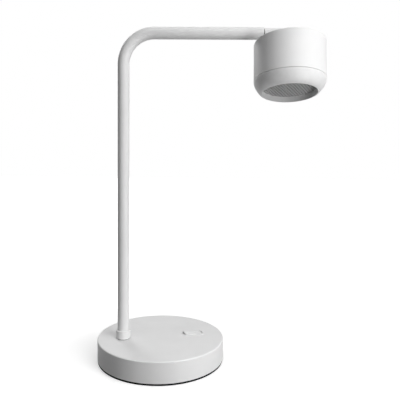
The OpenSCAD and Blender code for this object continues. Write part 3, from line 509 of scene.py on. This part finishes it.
# Aluminium dipped bright for the reflector: paler and shinier, its lines half as deep.
BRIGHT_ALUMINIUM = replace(
    SINK_ALUMINIUM,
    title="bright-dipped aluminium",
    colour="D8DADC",
    tones=("B4B6B9", "D8DADC"),
    roughness=(0.12, 0.3),
    reliefs=((DRAW_LINES, 0.002),),
)

# White solder lacquer on an aluminium-cored board: flat and slightly shiny, over the ghost of the copper.
COPPER = Pattern(5.0, detail=0.0, span=(0.49, 0.52), stepped=True)
BOARD_LACQUER = Finish(
    "white board lacquer",
    colour="ECECE6",
    tones=("DDDDD4", "ECECE6"),
    tone=COPPER,
    roughness=(0.3, 0.3),
    reliefs=((COPPER, 0.02),),
)

# Silicone with yellow phosphor over the light source: soft, with fine powder in it.
POWDER = Pattern(0.5, detail=3.0)
PHOSPHOR = Finish(
    "yellow phosphor",
    colour="E2C24A",
    tones=("D0AC35", "EFD266"),
    tone=POWDER,
    roughness=(0.4, 0.4),
    reliefs=((POWDER, 0.01),),
    extras=(("Subsurface Weight", 0.2), ("Subsurface Scale", 0.001)),
)

# Acrylic with an etched face: milky, and it hides the light source behind it but lets part of the light by.
ETCHED = Pattern(0.4)
FROSTED = Finish(
    "frosted acrylic",
    colour="E9E9E6",
    gloss=ETCHED,
    roughness=(0.48, 0.62),
    reliefs=((ETCHED, 0.01),),
    extras=(("Transmission Weight", 0.45), ("IOR", 1.49)),
)


# ---------------------------------------------------------------- mesh tools


def lathe(profile: Sequence[Point], steps: int, closed: bool = True) -> Shape:
    """Spins a profile of (radius, height) points round Z.

    Args:
        profile: The corners in millimetres, in order.
        steps: How many flats the full turn has.
        closed: Whether the last corner joins the first.

    Returns:
        A mesh with outward faces.
    """
    shape = bmesh.new()
    corners = [shape.verts.new((radius, 0.0, height)) for radius, height in profile]
    pairs = list(zip(corners, corners[1:] + corners[:1]))
    lines = [shape.edges.new(pair) for pair in (pairs if closed else pairs[:-1])]
    bmesh.ops.spin(
        shape,
        geom=corners + lines,
        cent=(0, 0, 0),
        axis=(0, 0, 1),
        angle=FULL_TURN,
        steps=steps,
        use_merge=True,
        use_duplicate=False,
    )
    bmesh.ops.remove_doubles(shape, verts=shape.verts, dist=CLOSE)
    bmesh.ops.recalc_face_normals(shape, faces=shape.faces)
    return shape


def round_edges(shape: Shape, edges: Iterable[Edge], radius: float, segments: int) -> None:
    """Rounds edges.

    Args:
        shape: The mesh.
        edges: The edges, of which those that are gone by now are left out.
        radius: Their radius in millimetres.
        segments: How many flats the rounding has.
    """
    chosen = [edge for edge in edges if edge.is_valid]
    if not chosen:
        raise ValueError("no edge to round")
    bmesh.ops.bevel(
        shape,
        geom=chosen,
        offset=radius,
        offset_type="OFFSET",
        segments=segments,
        profile=0.5,
        affect="EDGES",
        material=-1,
        clamp_overlap=True,
    )


def ring_edges(shape: Shape, radius: float, height: float) -> list[Edge]:
    """The edges of the ring at a corner of a lathed profile.

    Args:
        shape: The mesh.
        radius: The corner's distance from the axis.
        height: Its height.

    Returns:
        The ring's edges.
    """

    def on_ring(vert: bmesh.types.BMVert) -> bool:
        """Whether a vertex lies on the ring."""
        return abs(vert.co.xy.length - radius) < CLOSE and abs(vert.co.z - height) < CLOSE

    return [edge for edge in shape.edges if all(on_ring(vert) for vert in edge.verts)]


def open_loop(shape: Shape, test: Callable[[Vector], bool]) -> list[Edge]:
    """The boundary edges whose ends both pass a test on their place."""
    return [edge for edge in shape.edges if edge.is_boundary and all(test(vert.co) for vert in edge.verts)]


def extrude_loop(shape: Shape, edges: Sequence[Edge], move: Matrix) -> list[Edge]:
    """Extrudes a loop of edges and moves the new loop.

    Args:
        shape: The mesh.
        edges: The loop.
        move: Where the new loop goes.

    Returns:
        The new loop's edges.
    """
    made = bmesh.ops.extrude_edge_only(shape, edges=list(edges))["geom"]
    verts = [part for part in made if isinstance(part, bmesh.types.BMVert)]
    fresh = set(verts)
    bmesh.ops.transform(shape, matrix=move, verts=verts)
    return [part for part in made if isinstance(part, Edge) and all(vert in fresh for vert in part.verts)]


def shift_loop(shape: Shape, edges: Sequence[Edge], x: float = 0.0, z: float = 0.0) -> list[Edge]:
    """Extrudes a loop of edges straight along X or Z."""
    return extrude_loop(shape, edges, Matrix.Translation((x, 0, z)))


def spin_loop(shape: Shape, edges: Sequence[Edge], centre: Vector, steps: int) -> list[Edge]:
    """Sweeps a loop of edges a quarter turn round an axis along Y.

    Args:
        shape: The mesh.
        edges: The loop.
        centre: A point on the axis.
        steps: Number of steps.

    Returns:
        The last loop's edges.
    """
    verts = list({vert for edge in edges for vert in edge.verts})
    last = bmesh.ops.spin(
        shape,
        geom=verts + list(edges),
        cent=centre,
        axis=(0, 1, 0),
        angle=RIGHT_ANGLE,
        steps=steps,
        use_merge=False,
        use_duplicate=False,
    )["geom_last"]
    return [part for part in last if isinstance(part, Edge)]


def about(centre: Vector, scale: float, across: Sequence[int]) -> Matrix:
    """Scales about a point, along some of the axes only.

    Args:
        centre: The point that stays.
        scale: The factor.
        across: The numbers of the axes that it applies to.

    Returns:
        The matrix.
    """
    factors = [scale if axis in across else 1.0 for axis in range(3)]
    return Matrix.Translation(centre) @ Matrix.Diagonal((*factors, 1.0)) @ Matrix.Translation(-centre)


def finish_piece(
    shape: Shape,
    name: str,
    place: Matrix,
    body: Body,
    finish: Finish,
    node: str,
    smooth: float = 32.0,
) -> bpy.types.Object:
    """Puts a mesh in its place as a piece of the lamp.

    Args:
        shape: The mesh in millimetres; it is freed.
        name: The piece's name.
        place: Its frame, to metres in the row frame.
        body: The body it rides on.
        finish: Its finish.
        node: The CAD node that it stands for.
        smooth: The angle in degrees above which an edge stays sharp.

    Returns:
        The piece.
    """
    bmesh.ops.transform(shape, matrix=place, verts=shape.verts)
    mesh = bpy.data.meshes.new(name)
    shape.to_mesh(mesh)
    shape.free()
    mesh.shade_smooth()
    mesh.set_sharp_from_angle(angle=math.radians(smooth))
    mesh.materials.append(material_of(finish))
    piece = bpy.data.objects.new(name, mesh)
    # Small edge radii would otherwise tip the shading of the broad faces beside them.
    piece.modifiers.new("even shading", "WEIGHTED_NORMAL").keep_sharp = True
    bpy.context.scene.collection.objects.link(piece)
    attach(piece, body.value)
    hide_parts(node)
    LOG.info("%s: %d faces", name, len(mesh.polygons))
    return piece


def dress_nodes(finishes: dict[str, Finish]) -> None:
    """Gives carried-over CAD nodes their finishes.

    Args:
        finishes: Each node's finish by its name.
    """
    for name, finish in finishes.items():
        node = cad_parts[name]
        material = material_of(finish)
        if node.material_slots:
            for slot in node.material_slots:
                slot.material = material
        else:
            node.data.materials.append(material)
        LOG.info("%s: dressed in %s", name, finish.title)


# ---------------------------------------------------------------- sub-assemblies


@dataclass(frozen=True)
class Base:
    """The weighted base: rubber pad, drawn shell and what they hold."""

    pad_r: float = 79.7
    pad_t: float = 2.4
    pad_edge: float = 0.3
    tread_radii: tuple[float, ...] = (30.0, 48.0, 66.0)
    tread_w: float = 1.6
    tread_slope: float = 0.4
    tread_depth: float = 0.5
    steps: int = 192

    def foot_pad(self) -> bpy.types.Object:
        """The pad, with a rounded edge and three grooves under it.

        Returns:
            The piece.
        """
        profile: list[Point] = [(0.0, 0.0)]
        for radius in self.tread_radii:
            profile += [
                (radius, 0.0),
                (radius + self.tread_slope, self.tread_depth),
                (radius + self.tread_w - self.tread_slope, self.tread_depth),
                (radius + self.tread_w, 0.0),
            ]
        profile += [(self.pad_r, 0.0), (self.pad_r, self.pad_t), (0.0, self.pad_t)]
        shape = lathe(profile, self.steps, closed=False)
        round_edges(shape, ring_edges(shape, self.pad_r, 0.0), self.pad_edge, segments=4)
        return finish_piece(
            shape, "foot_pad_rubber", POSE.row(), Body.BASE, PAD_RUBBER, node="foot_pad"
        )

    def build(self) -> None:
        """Makes the pad and dresses the rest."""
        self.foot_pad()
        dress_nodes(
            {
                "base_shell": WHITE_COAT,
                "base_cover": ZINC,
                "cover_posts": ZINC,
                "stop_post": ZINC,
                "cover_screws": SCREW_ZINC,
                "base_weight": IRON,
                "swivel_bush": CREAM_NYLON,
                # The washer's grey is partly painted shade, for the gap under the collar.
                "collar_washer": WASHER_NYLON_AND_GAP_SHADE,
                "base_lead": SHEATH,
            }
        )


@dataclass(frozen=True)
class Electrics:
    """The power socket and the driver board inside the base."""

    def build(self) -> None:
        """Dresses every piece."""
        dress_nodes(
            {
                "power_socket": SOCKET_NYLON,
                "socket_pin": BRASS,
                "socket_tabs": BRASS,
                "socket_clamp": ZINC,
                "clamp_screws": SCREW_ZINC,
                "socket_lead": SHEATH,
                "driver_board": GREEN_BOARD,
                "driver_coil": FERRITE,
                "driver_capacitors": CAN_ALUMINIUM,
                "board_spacers": CREAM_NYLON,
                "board_screws": SCREW_ZINC,
            }
        )


@dataclass(frozen=True)
class RockerSwitch:
    """The rocker switch let into the base's top."""

    centre_x: float = 41.5
    pivot_z: float = 23.0
    half_tilt: float = 6.0
    length: float = 24.0
    width: float = 11.4
    corner_r: float = 3.2
    valley_h: float = 4.4
    skirt_h: float = 3.0
    edge_r: float = 0.45
    valley_r: float = 0.6
    rim_angle: float = 60.0
    smooth: float = 50.0

    @property
    def tip_h(self) -> float:
        """Height of the rocker's ends above its pivot."""
        return self.valley_h + self.length / 2 * math.tan(math.radians(self.half_tilt))

    def block(self) -> Shape:
        """The rocker's block with its corners rounded and a shallow V on top.

        Returns:
            The mesh, with its pivot at the origin.
        """
        shape = bmesh.new()
        height = self.tip_h + self.skirt_h
        middle = Matrix.Translation((0, 0, (self.tip_h - self.skirt_h) / 2))
        size = Matrix.Diagonal((self.length, self.width, height, 1))
        bmesh.ops.create_cube(shape, size=1.0, matrix=middle @ size)
        upright = [edge for edge in shape.edges if abs(edge.verts[0].co.z - edge.verts[1].co.z) > height / 2]
        round_edges(shape, upright, self.corner_r, segments=8)
        everything = shape.verts[:] + shape.edges[:] + shape.faces[:]
        bmesh.ops.bisect_plane(shape, geom=everything, plane_co=(0, 0, 0), plane_no=(1, 0, 0))
        for vert in shape.verts:
            if vert.co.z > 0:
                vert.co.z -= (self.tip_h - self.valley_h) * (1 - abs(vert.co.x) / (self.length / 2))
        return shape

    def rocker(self) -> bpy.types.Object:
        """The rocker, with its rim and the bottom of its V rounded.

        Returns:
            The piece.
        """
        shape = self.block()
        steep = math.radians(self.rim_angle)
        high = [edge for edge in shape.edges if all(vert.co.z > 0 for vert in edge.verts)]
        rim = [edge for edge in high if edge.calc_face_angle(0.0) > steep]
        round_edges(shape, rim, self.edge_r, segments=4)
        low = self.valley_h - self.edge_r / 2
        valley = [
            edge
            for edge in shape.edges
            if all(abs(vert.co.x) < CLOSE and vert.co.z > low for vert in edge.verts)
        ]
        round_edges(shape, valley, self.valley_r, segments=3)
        tilt = Matrix.Rotation(math.radians(self.half_tilt), 4, "Y")
        return finish_piece(
            shape,
            "switch_rocker_cap",
            POSE.row() @ Matrix.Translation((self.centre_x, 0, self.pivot_z)) @ tilt,
            Body.ROCKER,
            SWITCH_ABS,
            node="switch_rocker",
            smooth=self.smooth,
        )

    def build(self) -> None:
        """Makes the rocker and dresses its frame and the metal."""
        self.rocker()
        dress_nodes(
            {
                "switch_housing": FRAME_ABS,
                "switch_contact": BRASS,
                "switch_terminals": BRASS,
                "switch_lead": SHEATH,
            }
        )


@dataclass(frozen=True)
class Stem:
    """The bent tube with its collar, and the swivel at its foot."""

    tube_r: float = 7.1
    tube_t: float = 1.0
    foot_z: float = 30.3
    bend_r: float = 37.0
    arm_l: float = 168.0
    chamfer: float = 0.4
    reach_in: float = 6.0
    sides: int = 72
    bend_steps: int = 40
    collar_r: float = 9.0
    collar_bore_r: float = 5.05
    collar_z: float = 28.3
    collar_h: float = 10.0
    collar_edge: float = 0.5
    collar_steps: int = 96

    def tube(self) -> bpy.types.Object:
        """The tube: up, round the bend and along the arm, with its end turned in.

        Returns:
            The piece.
        """
        shape = bmesh.new()
        foot = Matrix.Translation((0, 0, self.foot_z))
        bmesh.ops.create_circle(shape, cap_ends=False, radius=self.tube_r, segments=self.sides, matrix=foot)
        bend_z = POSE.axis_z - self.bend_r
        loop = shift_loop(shape, list(shape.edges), z=bend_z - self.foot_z)
        loop = spin_loop(shape, loop, Vector((self.bend_r, 0, bend_z)), self.bend_steps)
        loop = shift_loop(shape, loop, x=self.arm_l - self.bend_r - self.chamfer)
        end = Vector((self.arm_l, 0, POSE.axis_z))
        face_r = self.tube_r - self.chamfer
        lean = about(end, face_r / self.tube_r, (1, 2))
        loop = extrude_loop(shape, loop, Matrix.Translation((self.chamfer, 0, 0)) @ lean)
        loop = extrude_loop(shape, loop, about(end, (self.tube_r - self.tube_t) / face_r, (1, 2)))
        loop = shift_loop(shape, loop, x=-self.reach_in)
        bmesh.ops.contextual_create(shape, geom=loop)
        low = open_loop(shape, lambda place: abs(place.z - self.foot_z) < CLOSE)
        bmesh.ops.contextual_create(shape, geom=low)
        bmesh.ops.recalc_face_normals(shape, faces=shape.faces)
        return finish_piece(
            shape, "stem_tube_coated", POSE.arm(), Body.STEM, TUBE_COAT, node="stem_tube"
        )

    def collar(self) -> bpy.types.Object:
        """The collar, with both edges rounded.

        Returns:
            The piece.
        """
        low, high = self.collar_z, self.collar_z + self.collar_h
        bore, outer = self.collar_bore_r, self.collar_r
        shape = lathe([(bore, low), (outer, low), (outer, high), (bore, high)], self.collar_steps)
        round_edges(shape, ring_edges(shape, outer, high), self.collar_edge, segments=4)
        round_edges(shape, ring_edges(shape, outer, low), self.collar_edge / 2, segments=2)
        return finish_piece(
            shape,
            "stem_collar_coated",
            POSE.arm(),
            Body.STEM,
            TUBE_COAT,
            node="stem_collar",
        )

    def build(self) -> None:
        """Makes the tube and its collar, and dresses the swivel."""
        self.tube()
        self.collar()
        dress_nodes(
            {
                "stem_spigot": TURNED,
                "stop_washer": SPRING_STEEL,
                "cone_washer": SPRING_STEEL,
                "stem_nut": TURNED,
                "stem_lead": SHEATH,
                "arm_bush": CREAM_NYLON,
            }
        )


@dataclass(frozen=True)
class Elbow:
    """The cast elbow between the arm and the head, and the swivel behind it."""

    outer_r: float = 6.1
    start: float = -30.0
    bend_r: float = 7.5
    bend_steps: int = 20
    drop: float = 13.2
    flange_r: float = 8.1
    flange_t: float = 1.5
    bore_r: float = 4.1
    bore_depth: float = 3.0
    edge_r: float = 0.35
    sides: int = 64

    def casting(self) -> bpy.types.Object:
        """The elbow: a stub, a tight bend and a neck that steps out to a flange on the head.

        Returns:
            The piece.
        """
        shape = bmesh.new()
        turn = Matrix.Translation((self.start, 0, 0)) @ Matrix.Rotation(RIGHT_ANGLE, 4, "Y")
        bmesh.ops.create_circle(shape, cap_ends=False, radius=self.outer_r, segments=self.sides, matrix=turn)
        stub = list(shape.edges)
        loop = shift_loop(shape, stub, x=-self.start - self.bend_r)
        loop = spin_loop(shape, loop, Vector((-self.bend_r, 0, -self.bend_r)), self.bend_steps)
        loop = shift_loop(shape, loop, z=self.bend_r + self.flange_t - self.drop)
        root = Vector((0, 0, self.flange_t - self.drop))
        step = extrude_loop(shape, loop, about(root, self.flange_r / self.outer_r, (0, 1)))
        loop = shift_loop(shape, step, z=-self.flange_t)
        bmesh.ops.contextual_create(shape, geom=loop)
        end = Vector((self.start, 0, 0))
        near = open_loop(shape, lambda place: abs(place.x - self.start) < CLOSE)
        near = extrude_loop(shape, near, about(end, self.bore_r / self.outer_r, (1, 2)))
        near = shift_loop(shape, near, x=self.bore_depth)
        bmesh.ops.contextual_create(shape, geom=near)
        bmesh.ops.recalc_face_normals(shape, faces=shape.faces)
        round_edges(shape, stub, self.edge_r, segments=3)
        round_edges(shape, step, self.edge_r, segments=3)
        return finish_piece(
            shape, "elbow_coated", POSE.head(), Body.HEAD, TUBE_COAT, node="swivel_elbow"
        )

    def build(self) -> None:
        """Makes the elbow and dresses the swivel's metal."""
        self.casting()
        dress_nodes(
            {
                "arm_washer": BLACK_NYLON,
                "swivel_shaft": TURNED,
                "shaft_stop": SPRING_STEEL,
                "shaft_washer": SPRING_STEEL,
                "shaft_nut": TURNED,
                "neck_washer": SPRING_STEEL,
                "neck_nut": TURNED,
            }
        )


@dataclass(frozen=True)
class Head:
    """The drum-shaped head: shell, bezel and optics."""

    outer_r: float = 42.2
    wall: float = 1.8
    top_z: float = -13.2
    top_t: float = 2.0
    top_edge: float = 1.2
    seam_z: float = -58.0
    seam_w: float = 0.6
    seam_depth: float = 1.2
    seam_edge: float = 0.08
    mouth_z: float = -73.3
    mouth_r: float = 32.25
    mouth_edge: float = 0.25
    lip_w: float = 9.9
    lip_h: float = 14.2
    lip_fullness: float = 1.5
    louver_z: float = -66.3
    optics_r: float = 35.95
    optics_gap: float = 0.25
    sleeve_top: float = -53.0
    sleeve_gap: float = 0.1
    neck_r: float = 5.03
    steps: int = 192

    def shell(self) -> bpy.types.Object:
        """The shell: a drawn cup, its top edge rounded and its rim eased.

        Returns:
            The piece.
        """
        bore = self.outer_r - self.wall
        ceiling = self.top_z - self.top_t
        shape = lathe(
            [
                (self.neck_r, self.top_z),
                (self.outer_r, self.top_z),
                (self.outer_r, self.seam_z),
                (bore, self.seam_z),
                (bore, ceiling),
                (self.neck_r, ceiling),
            ],
            self.steps,
        )
        round_edges(shape, ring_edges(shape, self.outer_r, self.top_z), self.top_edge, segments=6)
        round_edges(shape, ring_edges(shape, self.outer_r, self.seam_z), self.seam_edge, segments=2)
        return finish_piece(
            shape,
            "head_shell_coated",
            POSE.head(),
            Body.HEAD,
            # The head's coat is greyed as painted shade.
            HEAD_COAT_PAINTED_SHADE,
            node="head_shell",
        )

    def slacken_lip(self, shape: Shape) -> None:
        """Turns the lip's quarter circle into its real curve, taller than wide and nearer to a chamfer.

        Args:
            shape: The bezel, with a lip of lip_w both ways.
        """
        flat_r = self.outer_r - self.lip_w
        for vert in shape.verts:
            radius = vert.co.xy.length
            out = (radius - flat_r) / self.lip_w
            down = 1 - (vert.co.z - self.mouth_z) / self.lip_w
            if out < CLOSE or down < -CLOSE:
                continue
            down = max(down, 0.0)
            ease = (out**self.lip_fullness + down**self.lip_fullness) ** (-1 / self.lip_fullness)
            vert.co.xy *= (flat_r + out * ease * self.lip_w) / radius
            vert.co.z = self.mouth_z + (1 - down * ease) * self.lip_h

    def bezel(self) -> bpy.types.Object:
        """The bezel: a sleeve in the shell, the seam's groove and the broad rounded lip.

        Returns:
            The piece.
        """
        shoulder = self.seam_z - self.seam_w
        groove_r = self.outer_r - self.seam_depth
        seat_r = self.optics_r + self.optics_gap
        sleeve_r = self.outer_r - self.wall - self.sleeve_gap
        shape = lathe(
            [
                (seat_r, self.sleeve_top),
                (sleeve_r, self.sleeve_top),
                (sleeve_r, self.seam_z),
                (groove_r, self.seam_z),
                (groove_r, shoulder),
                (self.outer_r, shoulder),
                (self.outer_r, self.mouth_z),
                (self.mouth_r, self.mouth_z),
                (self.mouth_r, self.louver_z),
                (seat_r, self.louver_z),
            ],
            self.steps,
        )
        round_edges(shape, ring_edges(shape, self.outer_r, self.mouth_z), self.lip_w, segments=18)
        self.slacken_lip(shape)
        round_edges(shape, ring_edges(shape, self.outer_r, shoulder), self.seam_edge, segments=2)
        round_edges(shape, ring_edges(shape, self.mouth_r, self.mouth_z), self.mouth_edge, segments=3)
        return finish_piece(
            # The bezel's tone is greyed as painted shade.
            shape, "bezel_moulded", POSE.head(), Body.HEAD, BEZEL_ABS_PAINTED_SHADE, node="bezel"
        )

    def build(self) -> None:
        """Makes the shell and the bezel, and dresses what they hold."""
        self.shell()
        self.bezel()
        dress_nodes(
            {
                "heat_sink": SINK_ALUMINIUM,
                "sink_screws": SCREW_ZINC,
                "led_board": BOARD_LACQUER,
                "led_chip": PHOSPHOR,
                "led_screws": SCREW_ZINC,
                "head_lead": SHEATH,
                "reflector": BRIGHT_ALUMINIUM,
                "retaining_ring": SPRING_STEEL,
                "lens": FROSTED,
                "louver": LOUVER_PAINT,
            }
        )


# ---------------------------------------------------------------- studio


def stand(name: str, data: bpy.types.ID, place: Matrix) -> bpy.types.Object:
    """Puts a light, a camera or the floor in the scene.

    Args:
        name: Its name.
        data: What it is.
        place: Where it stands and how it is turned, in metres.

    Returns:
        The object.
    """
    made = bpy.data.objects.new(name, data)
    bpy.context.scene.collection.objects.link(made)
    made.matrix_world = place
    return made


@dataclass(frozen=True)
class Viewpoint:
    """The camera of the photograph, found by fitting the lamp's outlines.

    The photograph is a crop, so its middle lies a little off the lens's axis.
    """

    place_mm: tuple[float, float, float] = (-75.70, -536.13, 233.58)
    heading: float = -12.210
    dip: float = 3.919
    roll: float = 0.693
    focal_px: float = 428.55
    centre_px: tuple[float, float] = (193.13, 204.82)
    frame_px: float = 400.0
    sensor_mm: float = 36.0

    def build(self) -> None:
        """Makes the camera and gives it to the scene."""
        data = bpy.data.cameras.new("camera")
        data.sensor_width = self.sensor_mm
        data.lens = self.focal_px / self.frame_px * self.sensor_mm
        data.shift_x = 0.5 - self.centre_px[0] / self.frame_px
        data.shift_y = self.centre_px[1] / self.frame_px - 0.5
        turn = Matrix.Rotation(math.radians(self.heading), 4, "Z")
        tip = Matrix.Rotation(math.radians(90 - self.dip), 4, "X")
        lean = Matrix.Rotation(math.radians(self.roll), 4, "Z")
        place = Matrix.Translation(Vector(self.place_mm) * MM)
        bpy.context.scene.camera = stand("camera", data, place @ turn @ tip @ lean)


@dataclass(frozen=True)
class SoftLamp:
    """A square softbox that points at the lamp's middle or at a target of its own, in metres and watts."""

    name: str
    place: tuple[float, float, float]
    size: float
    watts: float
    target: tuple[float, float, float] = (0.05, -0.02, 0.2)

    def build(self) -> None:
        """Makes the light."""
        data = bpy.data.lights.new(self.name, "AREA")
        data.shape = "SQUARE"
        data.size = self.size
        data.energy = self.watts
        aim = Vector(self.target) - Vector(self.place)
        turn = aim.to_track_quat("-Z", "Y").to_matrix().to_4x4()
        stand(self.name, data, Matrix.Translation(self.place) @ turn)


@dataclass(frozen=True)
class SkyLamp:
    """A distant soft light that shines the same everywhere, its spread in degrees."""

    name: str
    towards: tuple[float, float, float]
    strength: float
    spread: float

    def build(self) -> None:
        """Makes the light."""
        data = bpy.data.lights.new(self.name, "SUN")
        data.energy = self.strength
        data.angle = math.radians(self.spread)
        stand(self.name, data, Vector(self.towards).to_track_quat("-Z", "Y").to_matrix().to_4x4())


@dataclass(frozen=True)
class Studio:
    """The pale floor, the white surroundings, the lights and the camera, in metres.

    The floor glows from floor_glow at the near distance to full white at the far one.
    """

    floor_half: float = 30.0
    # The pad's underside lies in the plane z = 0, where the two would flicker through each other.
    floor_drop: float = 0.0001
    floor_colour: str = "F0F0F0"
    bounce_colour: str = "7A7A7A"
    floor_glow: float = 0.38
    near: float = 0.1
    far: float = 0.3
    room_colour: str = "FFFFFF"
    room_level: float = 0.03
    lamps: tuple[SoftLamp | SkyLamp, ...] = (
        SoftLamp("right softbox", (0.520, -0.691, 0.774), size=0.64, watts=3.2),
        SoftLamp("front softbox", (0.246, -0.559, 0.602), size=0.45, watts=1.25),
        SoftLamp("low softbox", (0.343, -0.528, 0.080), size=0.14, watts=1.25),
        SoftLamp("low spotlight", (0.890, -0.860, 0.045), size=0.08, watts=0.6),
        SoftLamp("rear softbox", (-0.2, 0.6, 0.7), size=0.25, watts=1.5, target=(0.14, -0.05, 0.36)),
        SkyLamp("top light", (0.0, 0.1, -1.0), strength=1.06, spread=60.0),
    )

    def looked_at(self, tree: Tree) -> Socket:
        """Tells what is looked at from what is lit.

        Args:
            tree: The node tree.

        Returns:
            One for rays from the camera, also by way of a reflection or through glass, and nothing for light.
        """
        rays = add_node(tree, "LightPath").outputs
        either = {"0": rays["Is Glossy Ray"], "1": rays["Is Transmission Ray"]}
        mirrored = add_node(tree, "Math", {"operation": "MAXIMUM"}, either)
        both = {"0": rays["Is Camera Ray"], "1": mirrored.outputs[0]}
        return add_node(tree, "Math", {"operation": "MAXIMUM"}, both).outputs[0]

    def floor_material(self) -> bpy.types.Material:
        """Matt white paper: it reads white to the camera and keeps the lamp's shadow.

        Returns:
            The material.
        """
        material = bpy.data.materials.new("matt white floor")
        material.use_nodes = True
        tree = material.node_tree
        tree.nodes.clear()
        # The floor throws less light back up than the camera sees on it, so that the head stays dark below.
        colours = {
            "data_type": "RGBA",
            MIX_FIRST: linear(self.bounce_colour),
            MIX_SECOND: linear(self.floor_colour),
        }
        tone = add_node(tree, "Mix", colours, {MIX_SHARE: self.looked_at(tree)})
        matt = add_node(tree, "BsdfDiffuse", {}, {"Color": tone.outputs[MIX_RESULT]})
        place = {"0": add_node(tree, "TexCoord").outputs["Object"]}
        away = add_node(tree, "VectorMath", {"operation": "LENGTH"}, place)
        settings = {
            "interpolation_type": "SMOOTHSTEP",
            "From Min": self.near,
            "From Max": self.far,
            "To Min": self.floor_glow,
        }
        fade = add_node(tree, "MapRange", settings, {"Value": away.outputs["Value"]})
        factors = {"0": self.looked_at(tree), "1": fade.outputs["Result"]}
        level = add_node(tree, "Math", {"operation": "MULTIPLY"}, factors)
        glow = add_node(tree, "Emission", {}, {"Strength": level.outputs[0]})
        above = add_node(tree, "AddShader", {}, {"0": matt.outputs[0], "1": glow.outputs[0]})
        # From below the floor is clear, so that it doesn't hide the lamp's underside.
        clear = add_node(tree, "BsdfTransparent")
        under = add_node(tree, "NewGeometry").outputs["Backfacing"]
        sides = {"0": under, "1": above.outputs[0], "2": clear.outputs[0]}
        add_node(tree, "OutputMaterial", {}, {"Surface": add_node(tree, "MixShader", {}, sides).outputs[0]})
        return material

    def floor(self) -> None:
        """Lays the floor."""
        shape = bmesh.new()
        below = Matrix.Translation((0, 0, -self.floor_drop))
        bmesh.ops.create_grid(shape, x_segments=1, y_segments=1, size=self.floor_half, matrix=below)
        mesh = bpy.data.meshes.new("floor")
        shape.to_mesh(mesh)
        shape.free()
        mesh.materials.append(self.floor_material())
        stand("floor", mesh, Matrix.Identity(4))

    def room(self) -> None:
        """Sets white surroundings, bright to the camera and faint as a light."""
        world = bpy.data.worlds.new("white room")
        world.use_nodes = True
        tree = world.node_tree
        tree.nodes.clear()
        level = add_node(tree, "MapRange", {"To Min": self.room_level}, {"Value": self.looked_at(tree)})
        white = {"Color": linear(self.room_colour)}
        sky = add_node(tree, "Background", white, {"Strength": level.outputs["Result"]})
        add_node(tree, "OutputWorld", {}, {"Surface": sky.outputs[0]})
        bpy.context.scene.world = world

    def build(self) -> None:
        """Sets up the whole studio."""
        Viewpoint().build()
        self.floor()
        self.room()
        for lamp in self.lamps:
            lamp.build()
        bpy.context.scene.view_settings.view_transform = "Standard"


# ---------------------------------------------------------------- the whole lamp


def corners(box: tuple[Vector, Vector]) -> list[list[float]]:
    """A box as plain lists of numbers."""
    return [[float(value) for value in corner] for corner in box]


def main() -> None:
    """Builds the studio and the lamp, piece by piece."""
    logging.basicConfig(level=logging.INFO, format="%(name)s: %(message)s")
    Studio().build()
    for part in (Base(), Electrics(), RockerSwitch(), Stem(), Elbow(), Head()):
        LOG.info("building %s", type(part).__name__)
        part.build()


if __name__ == "__main__":
    main()
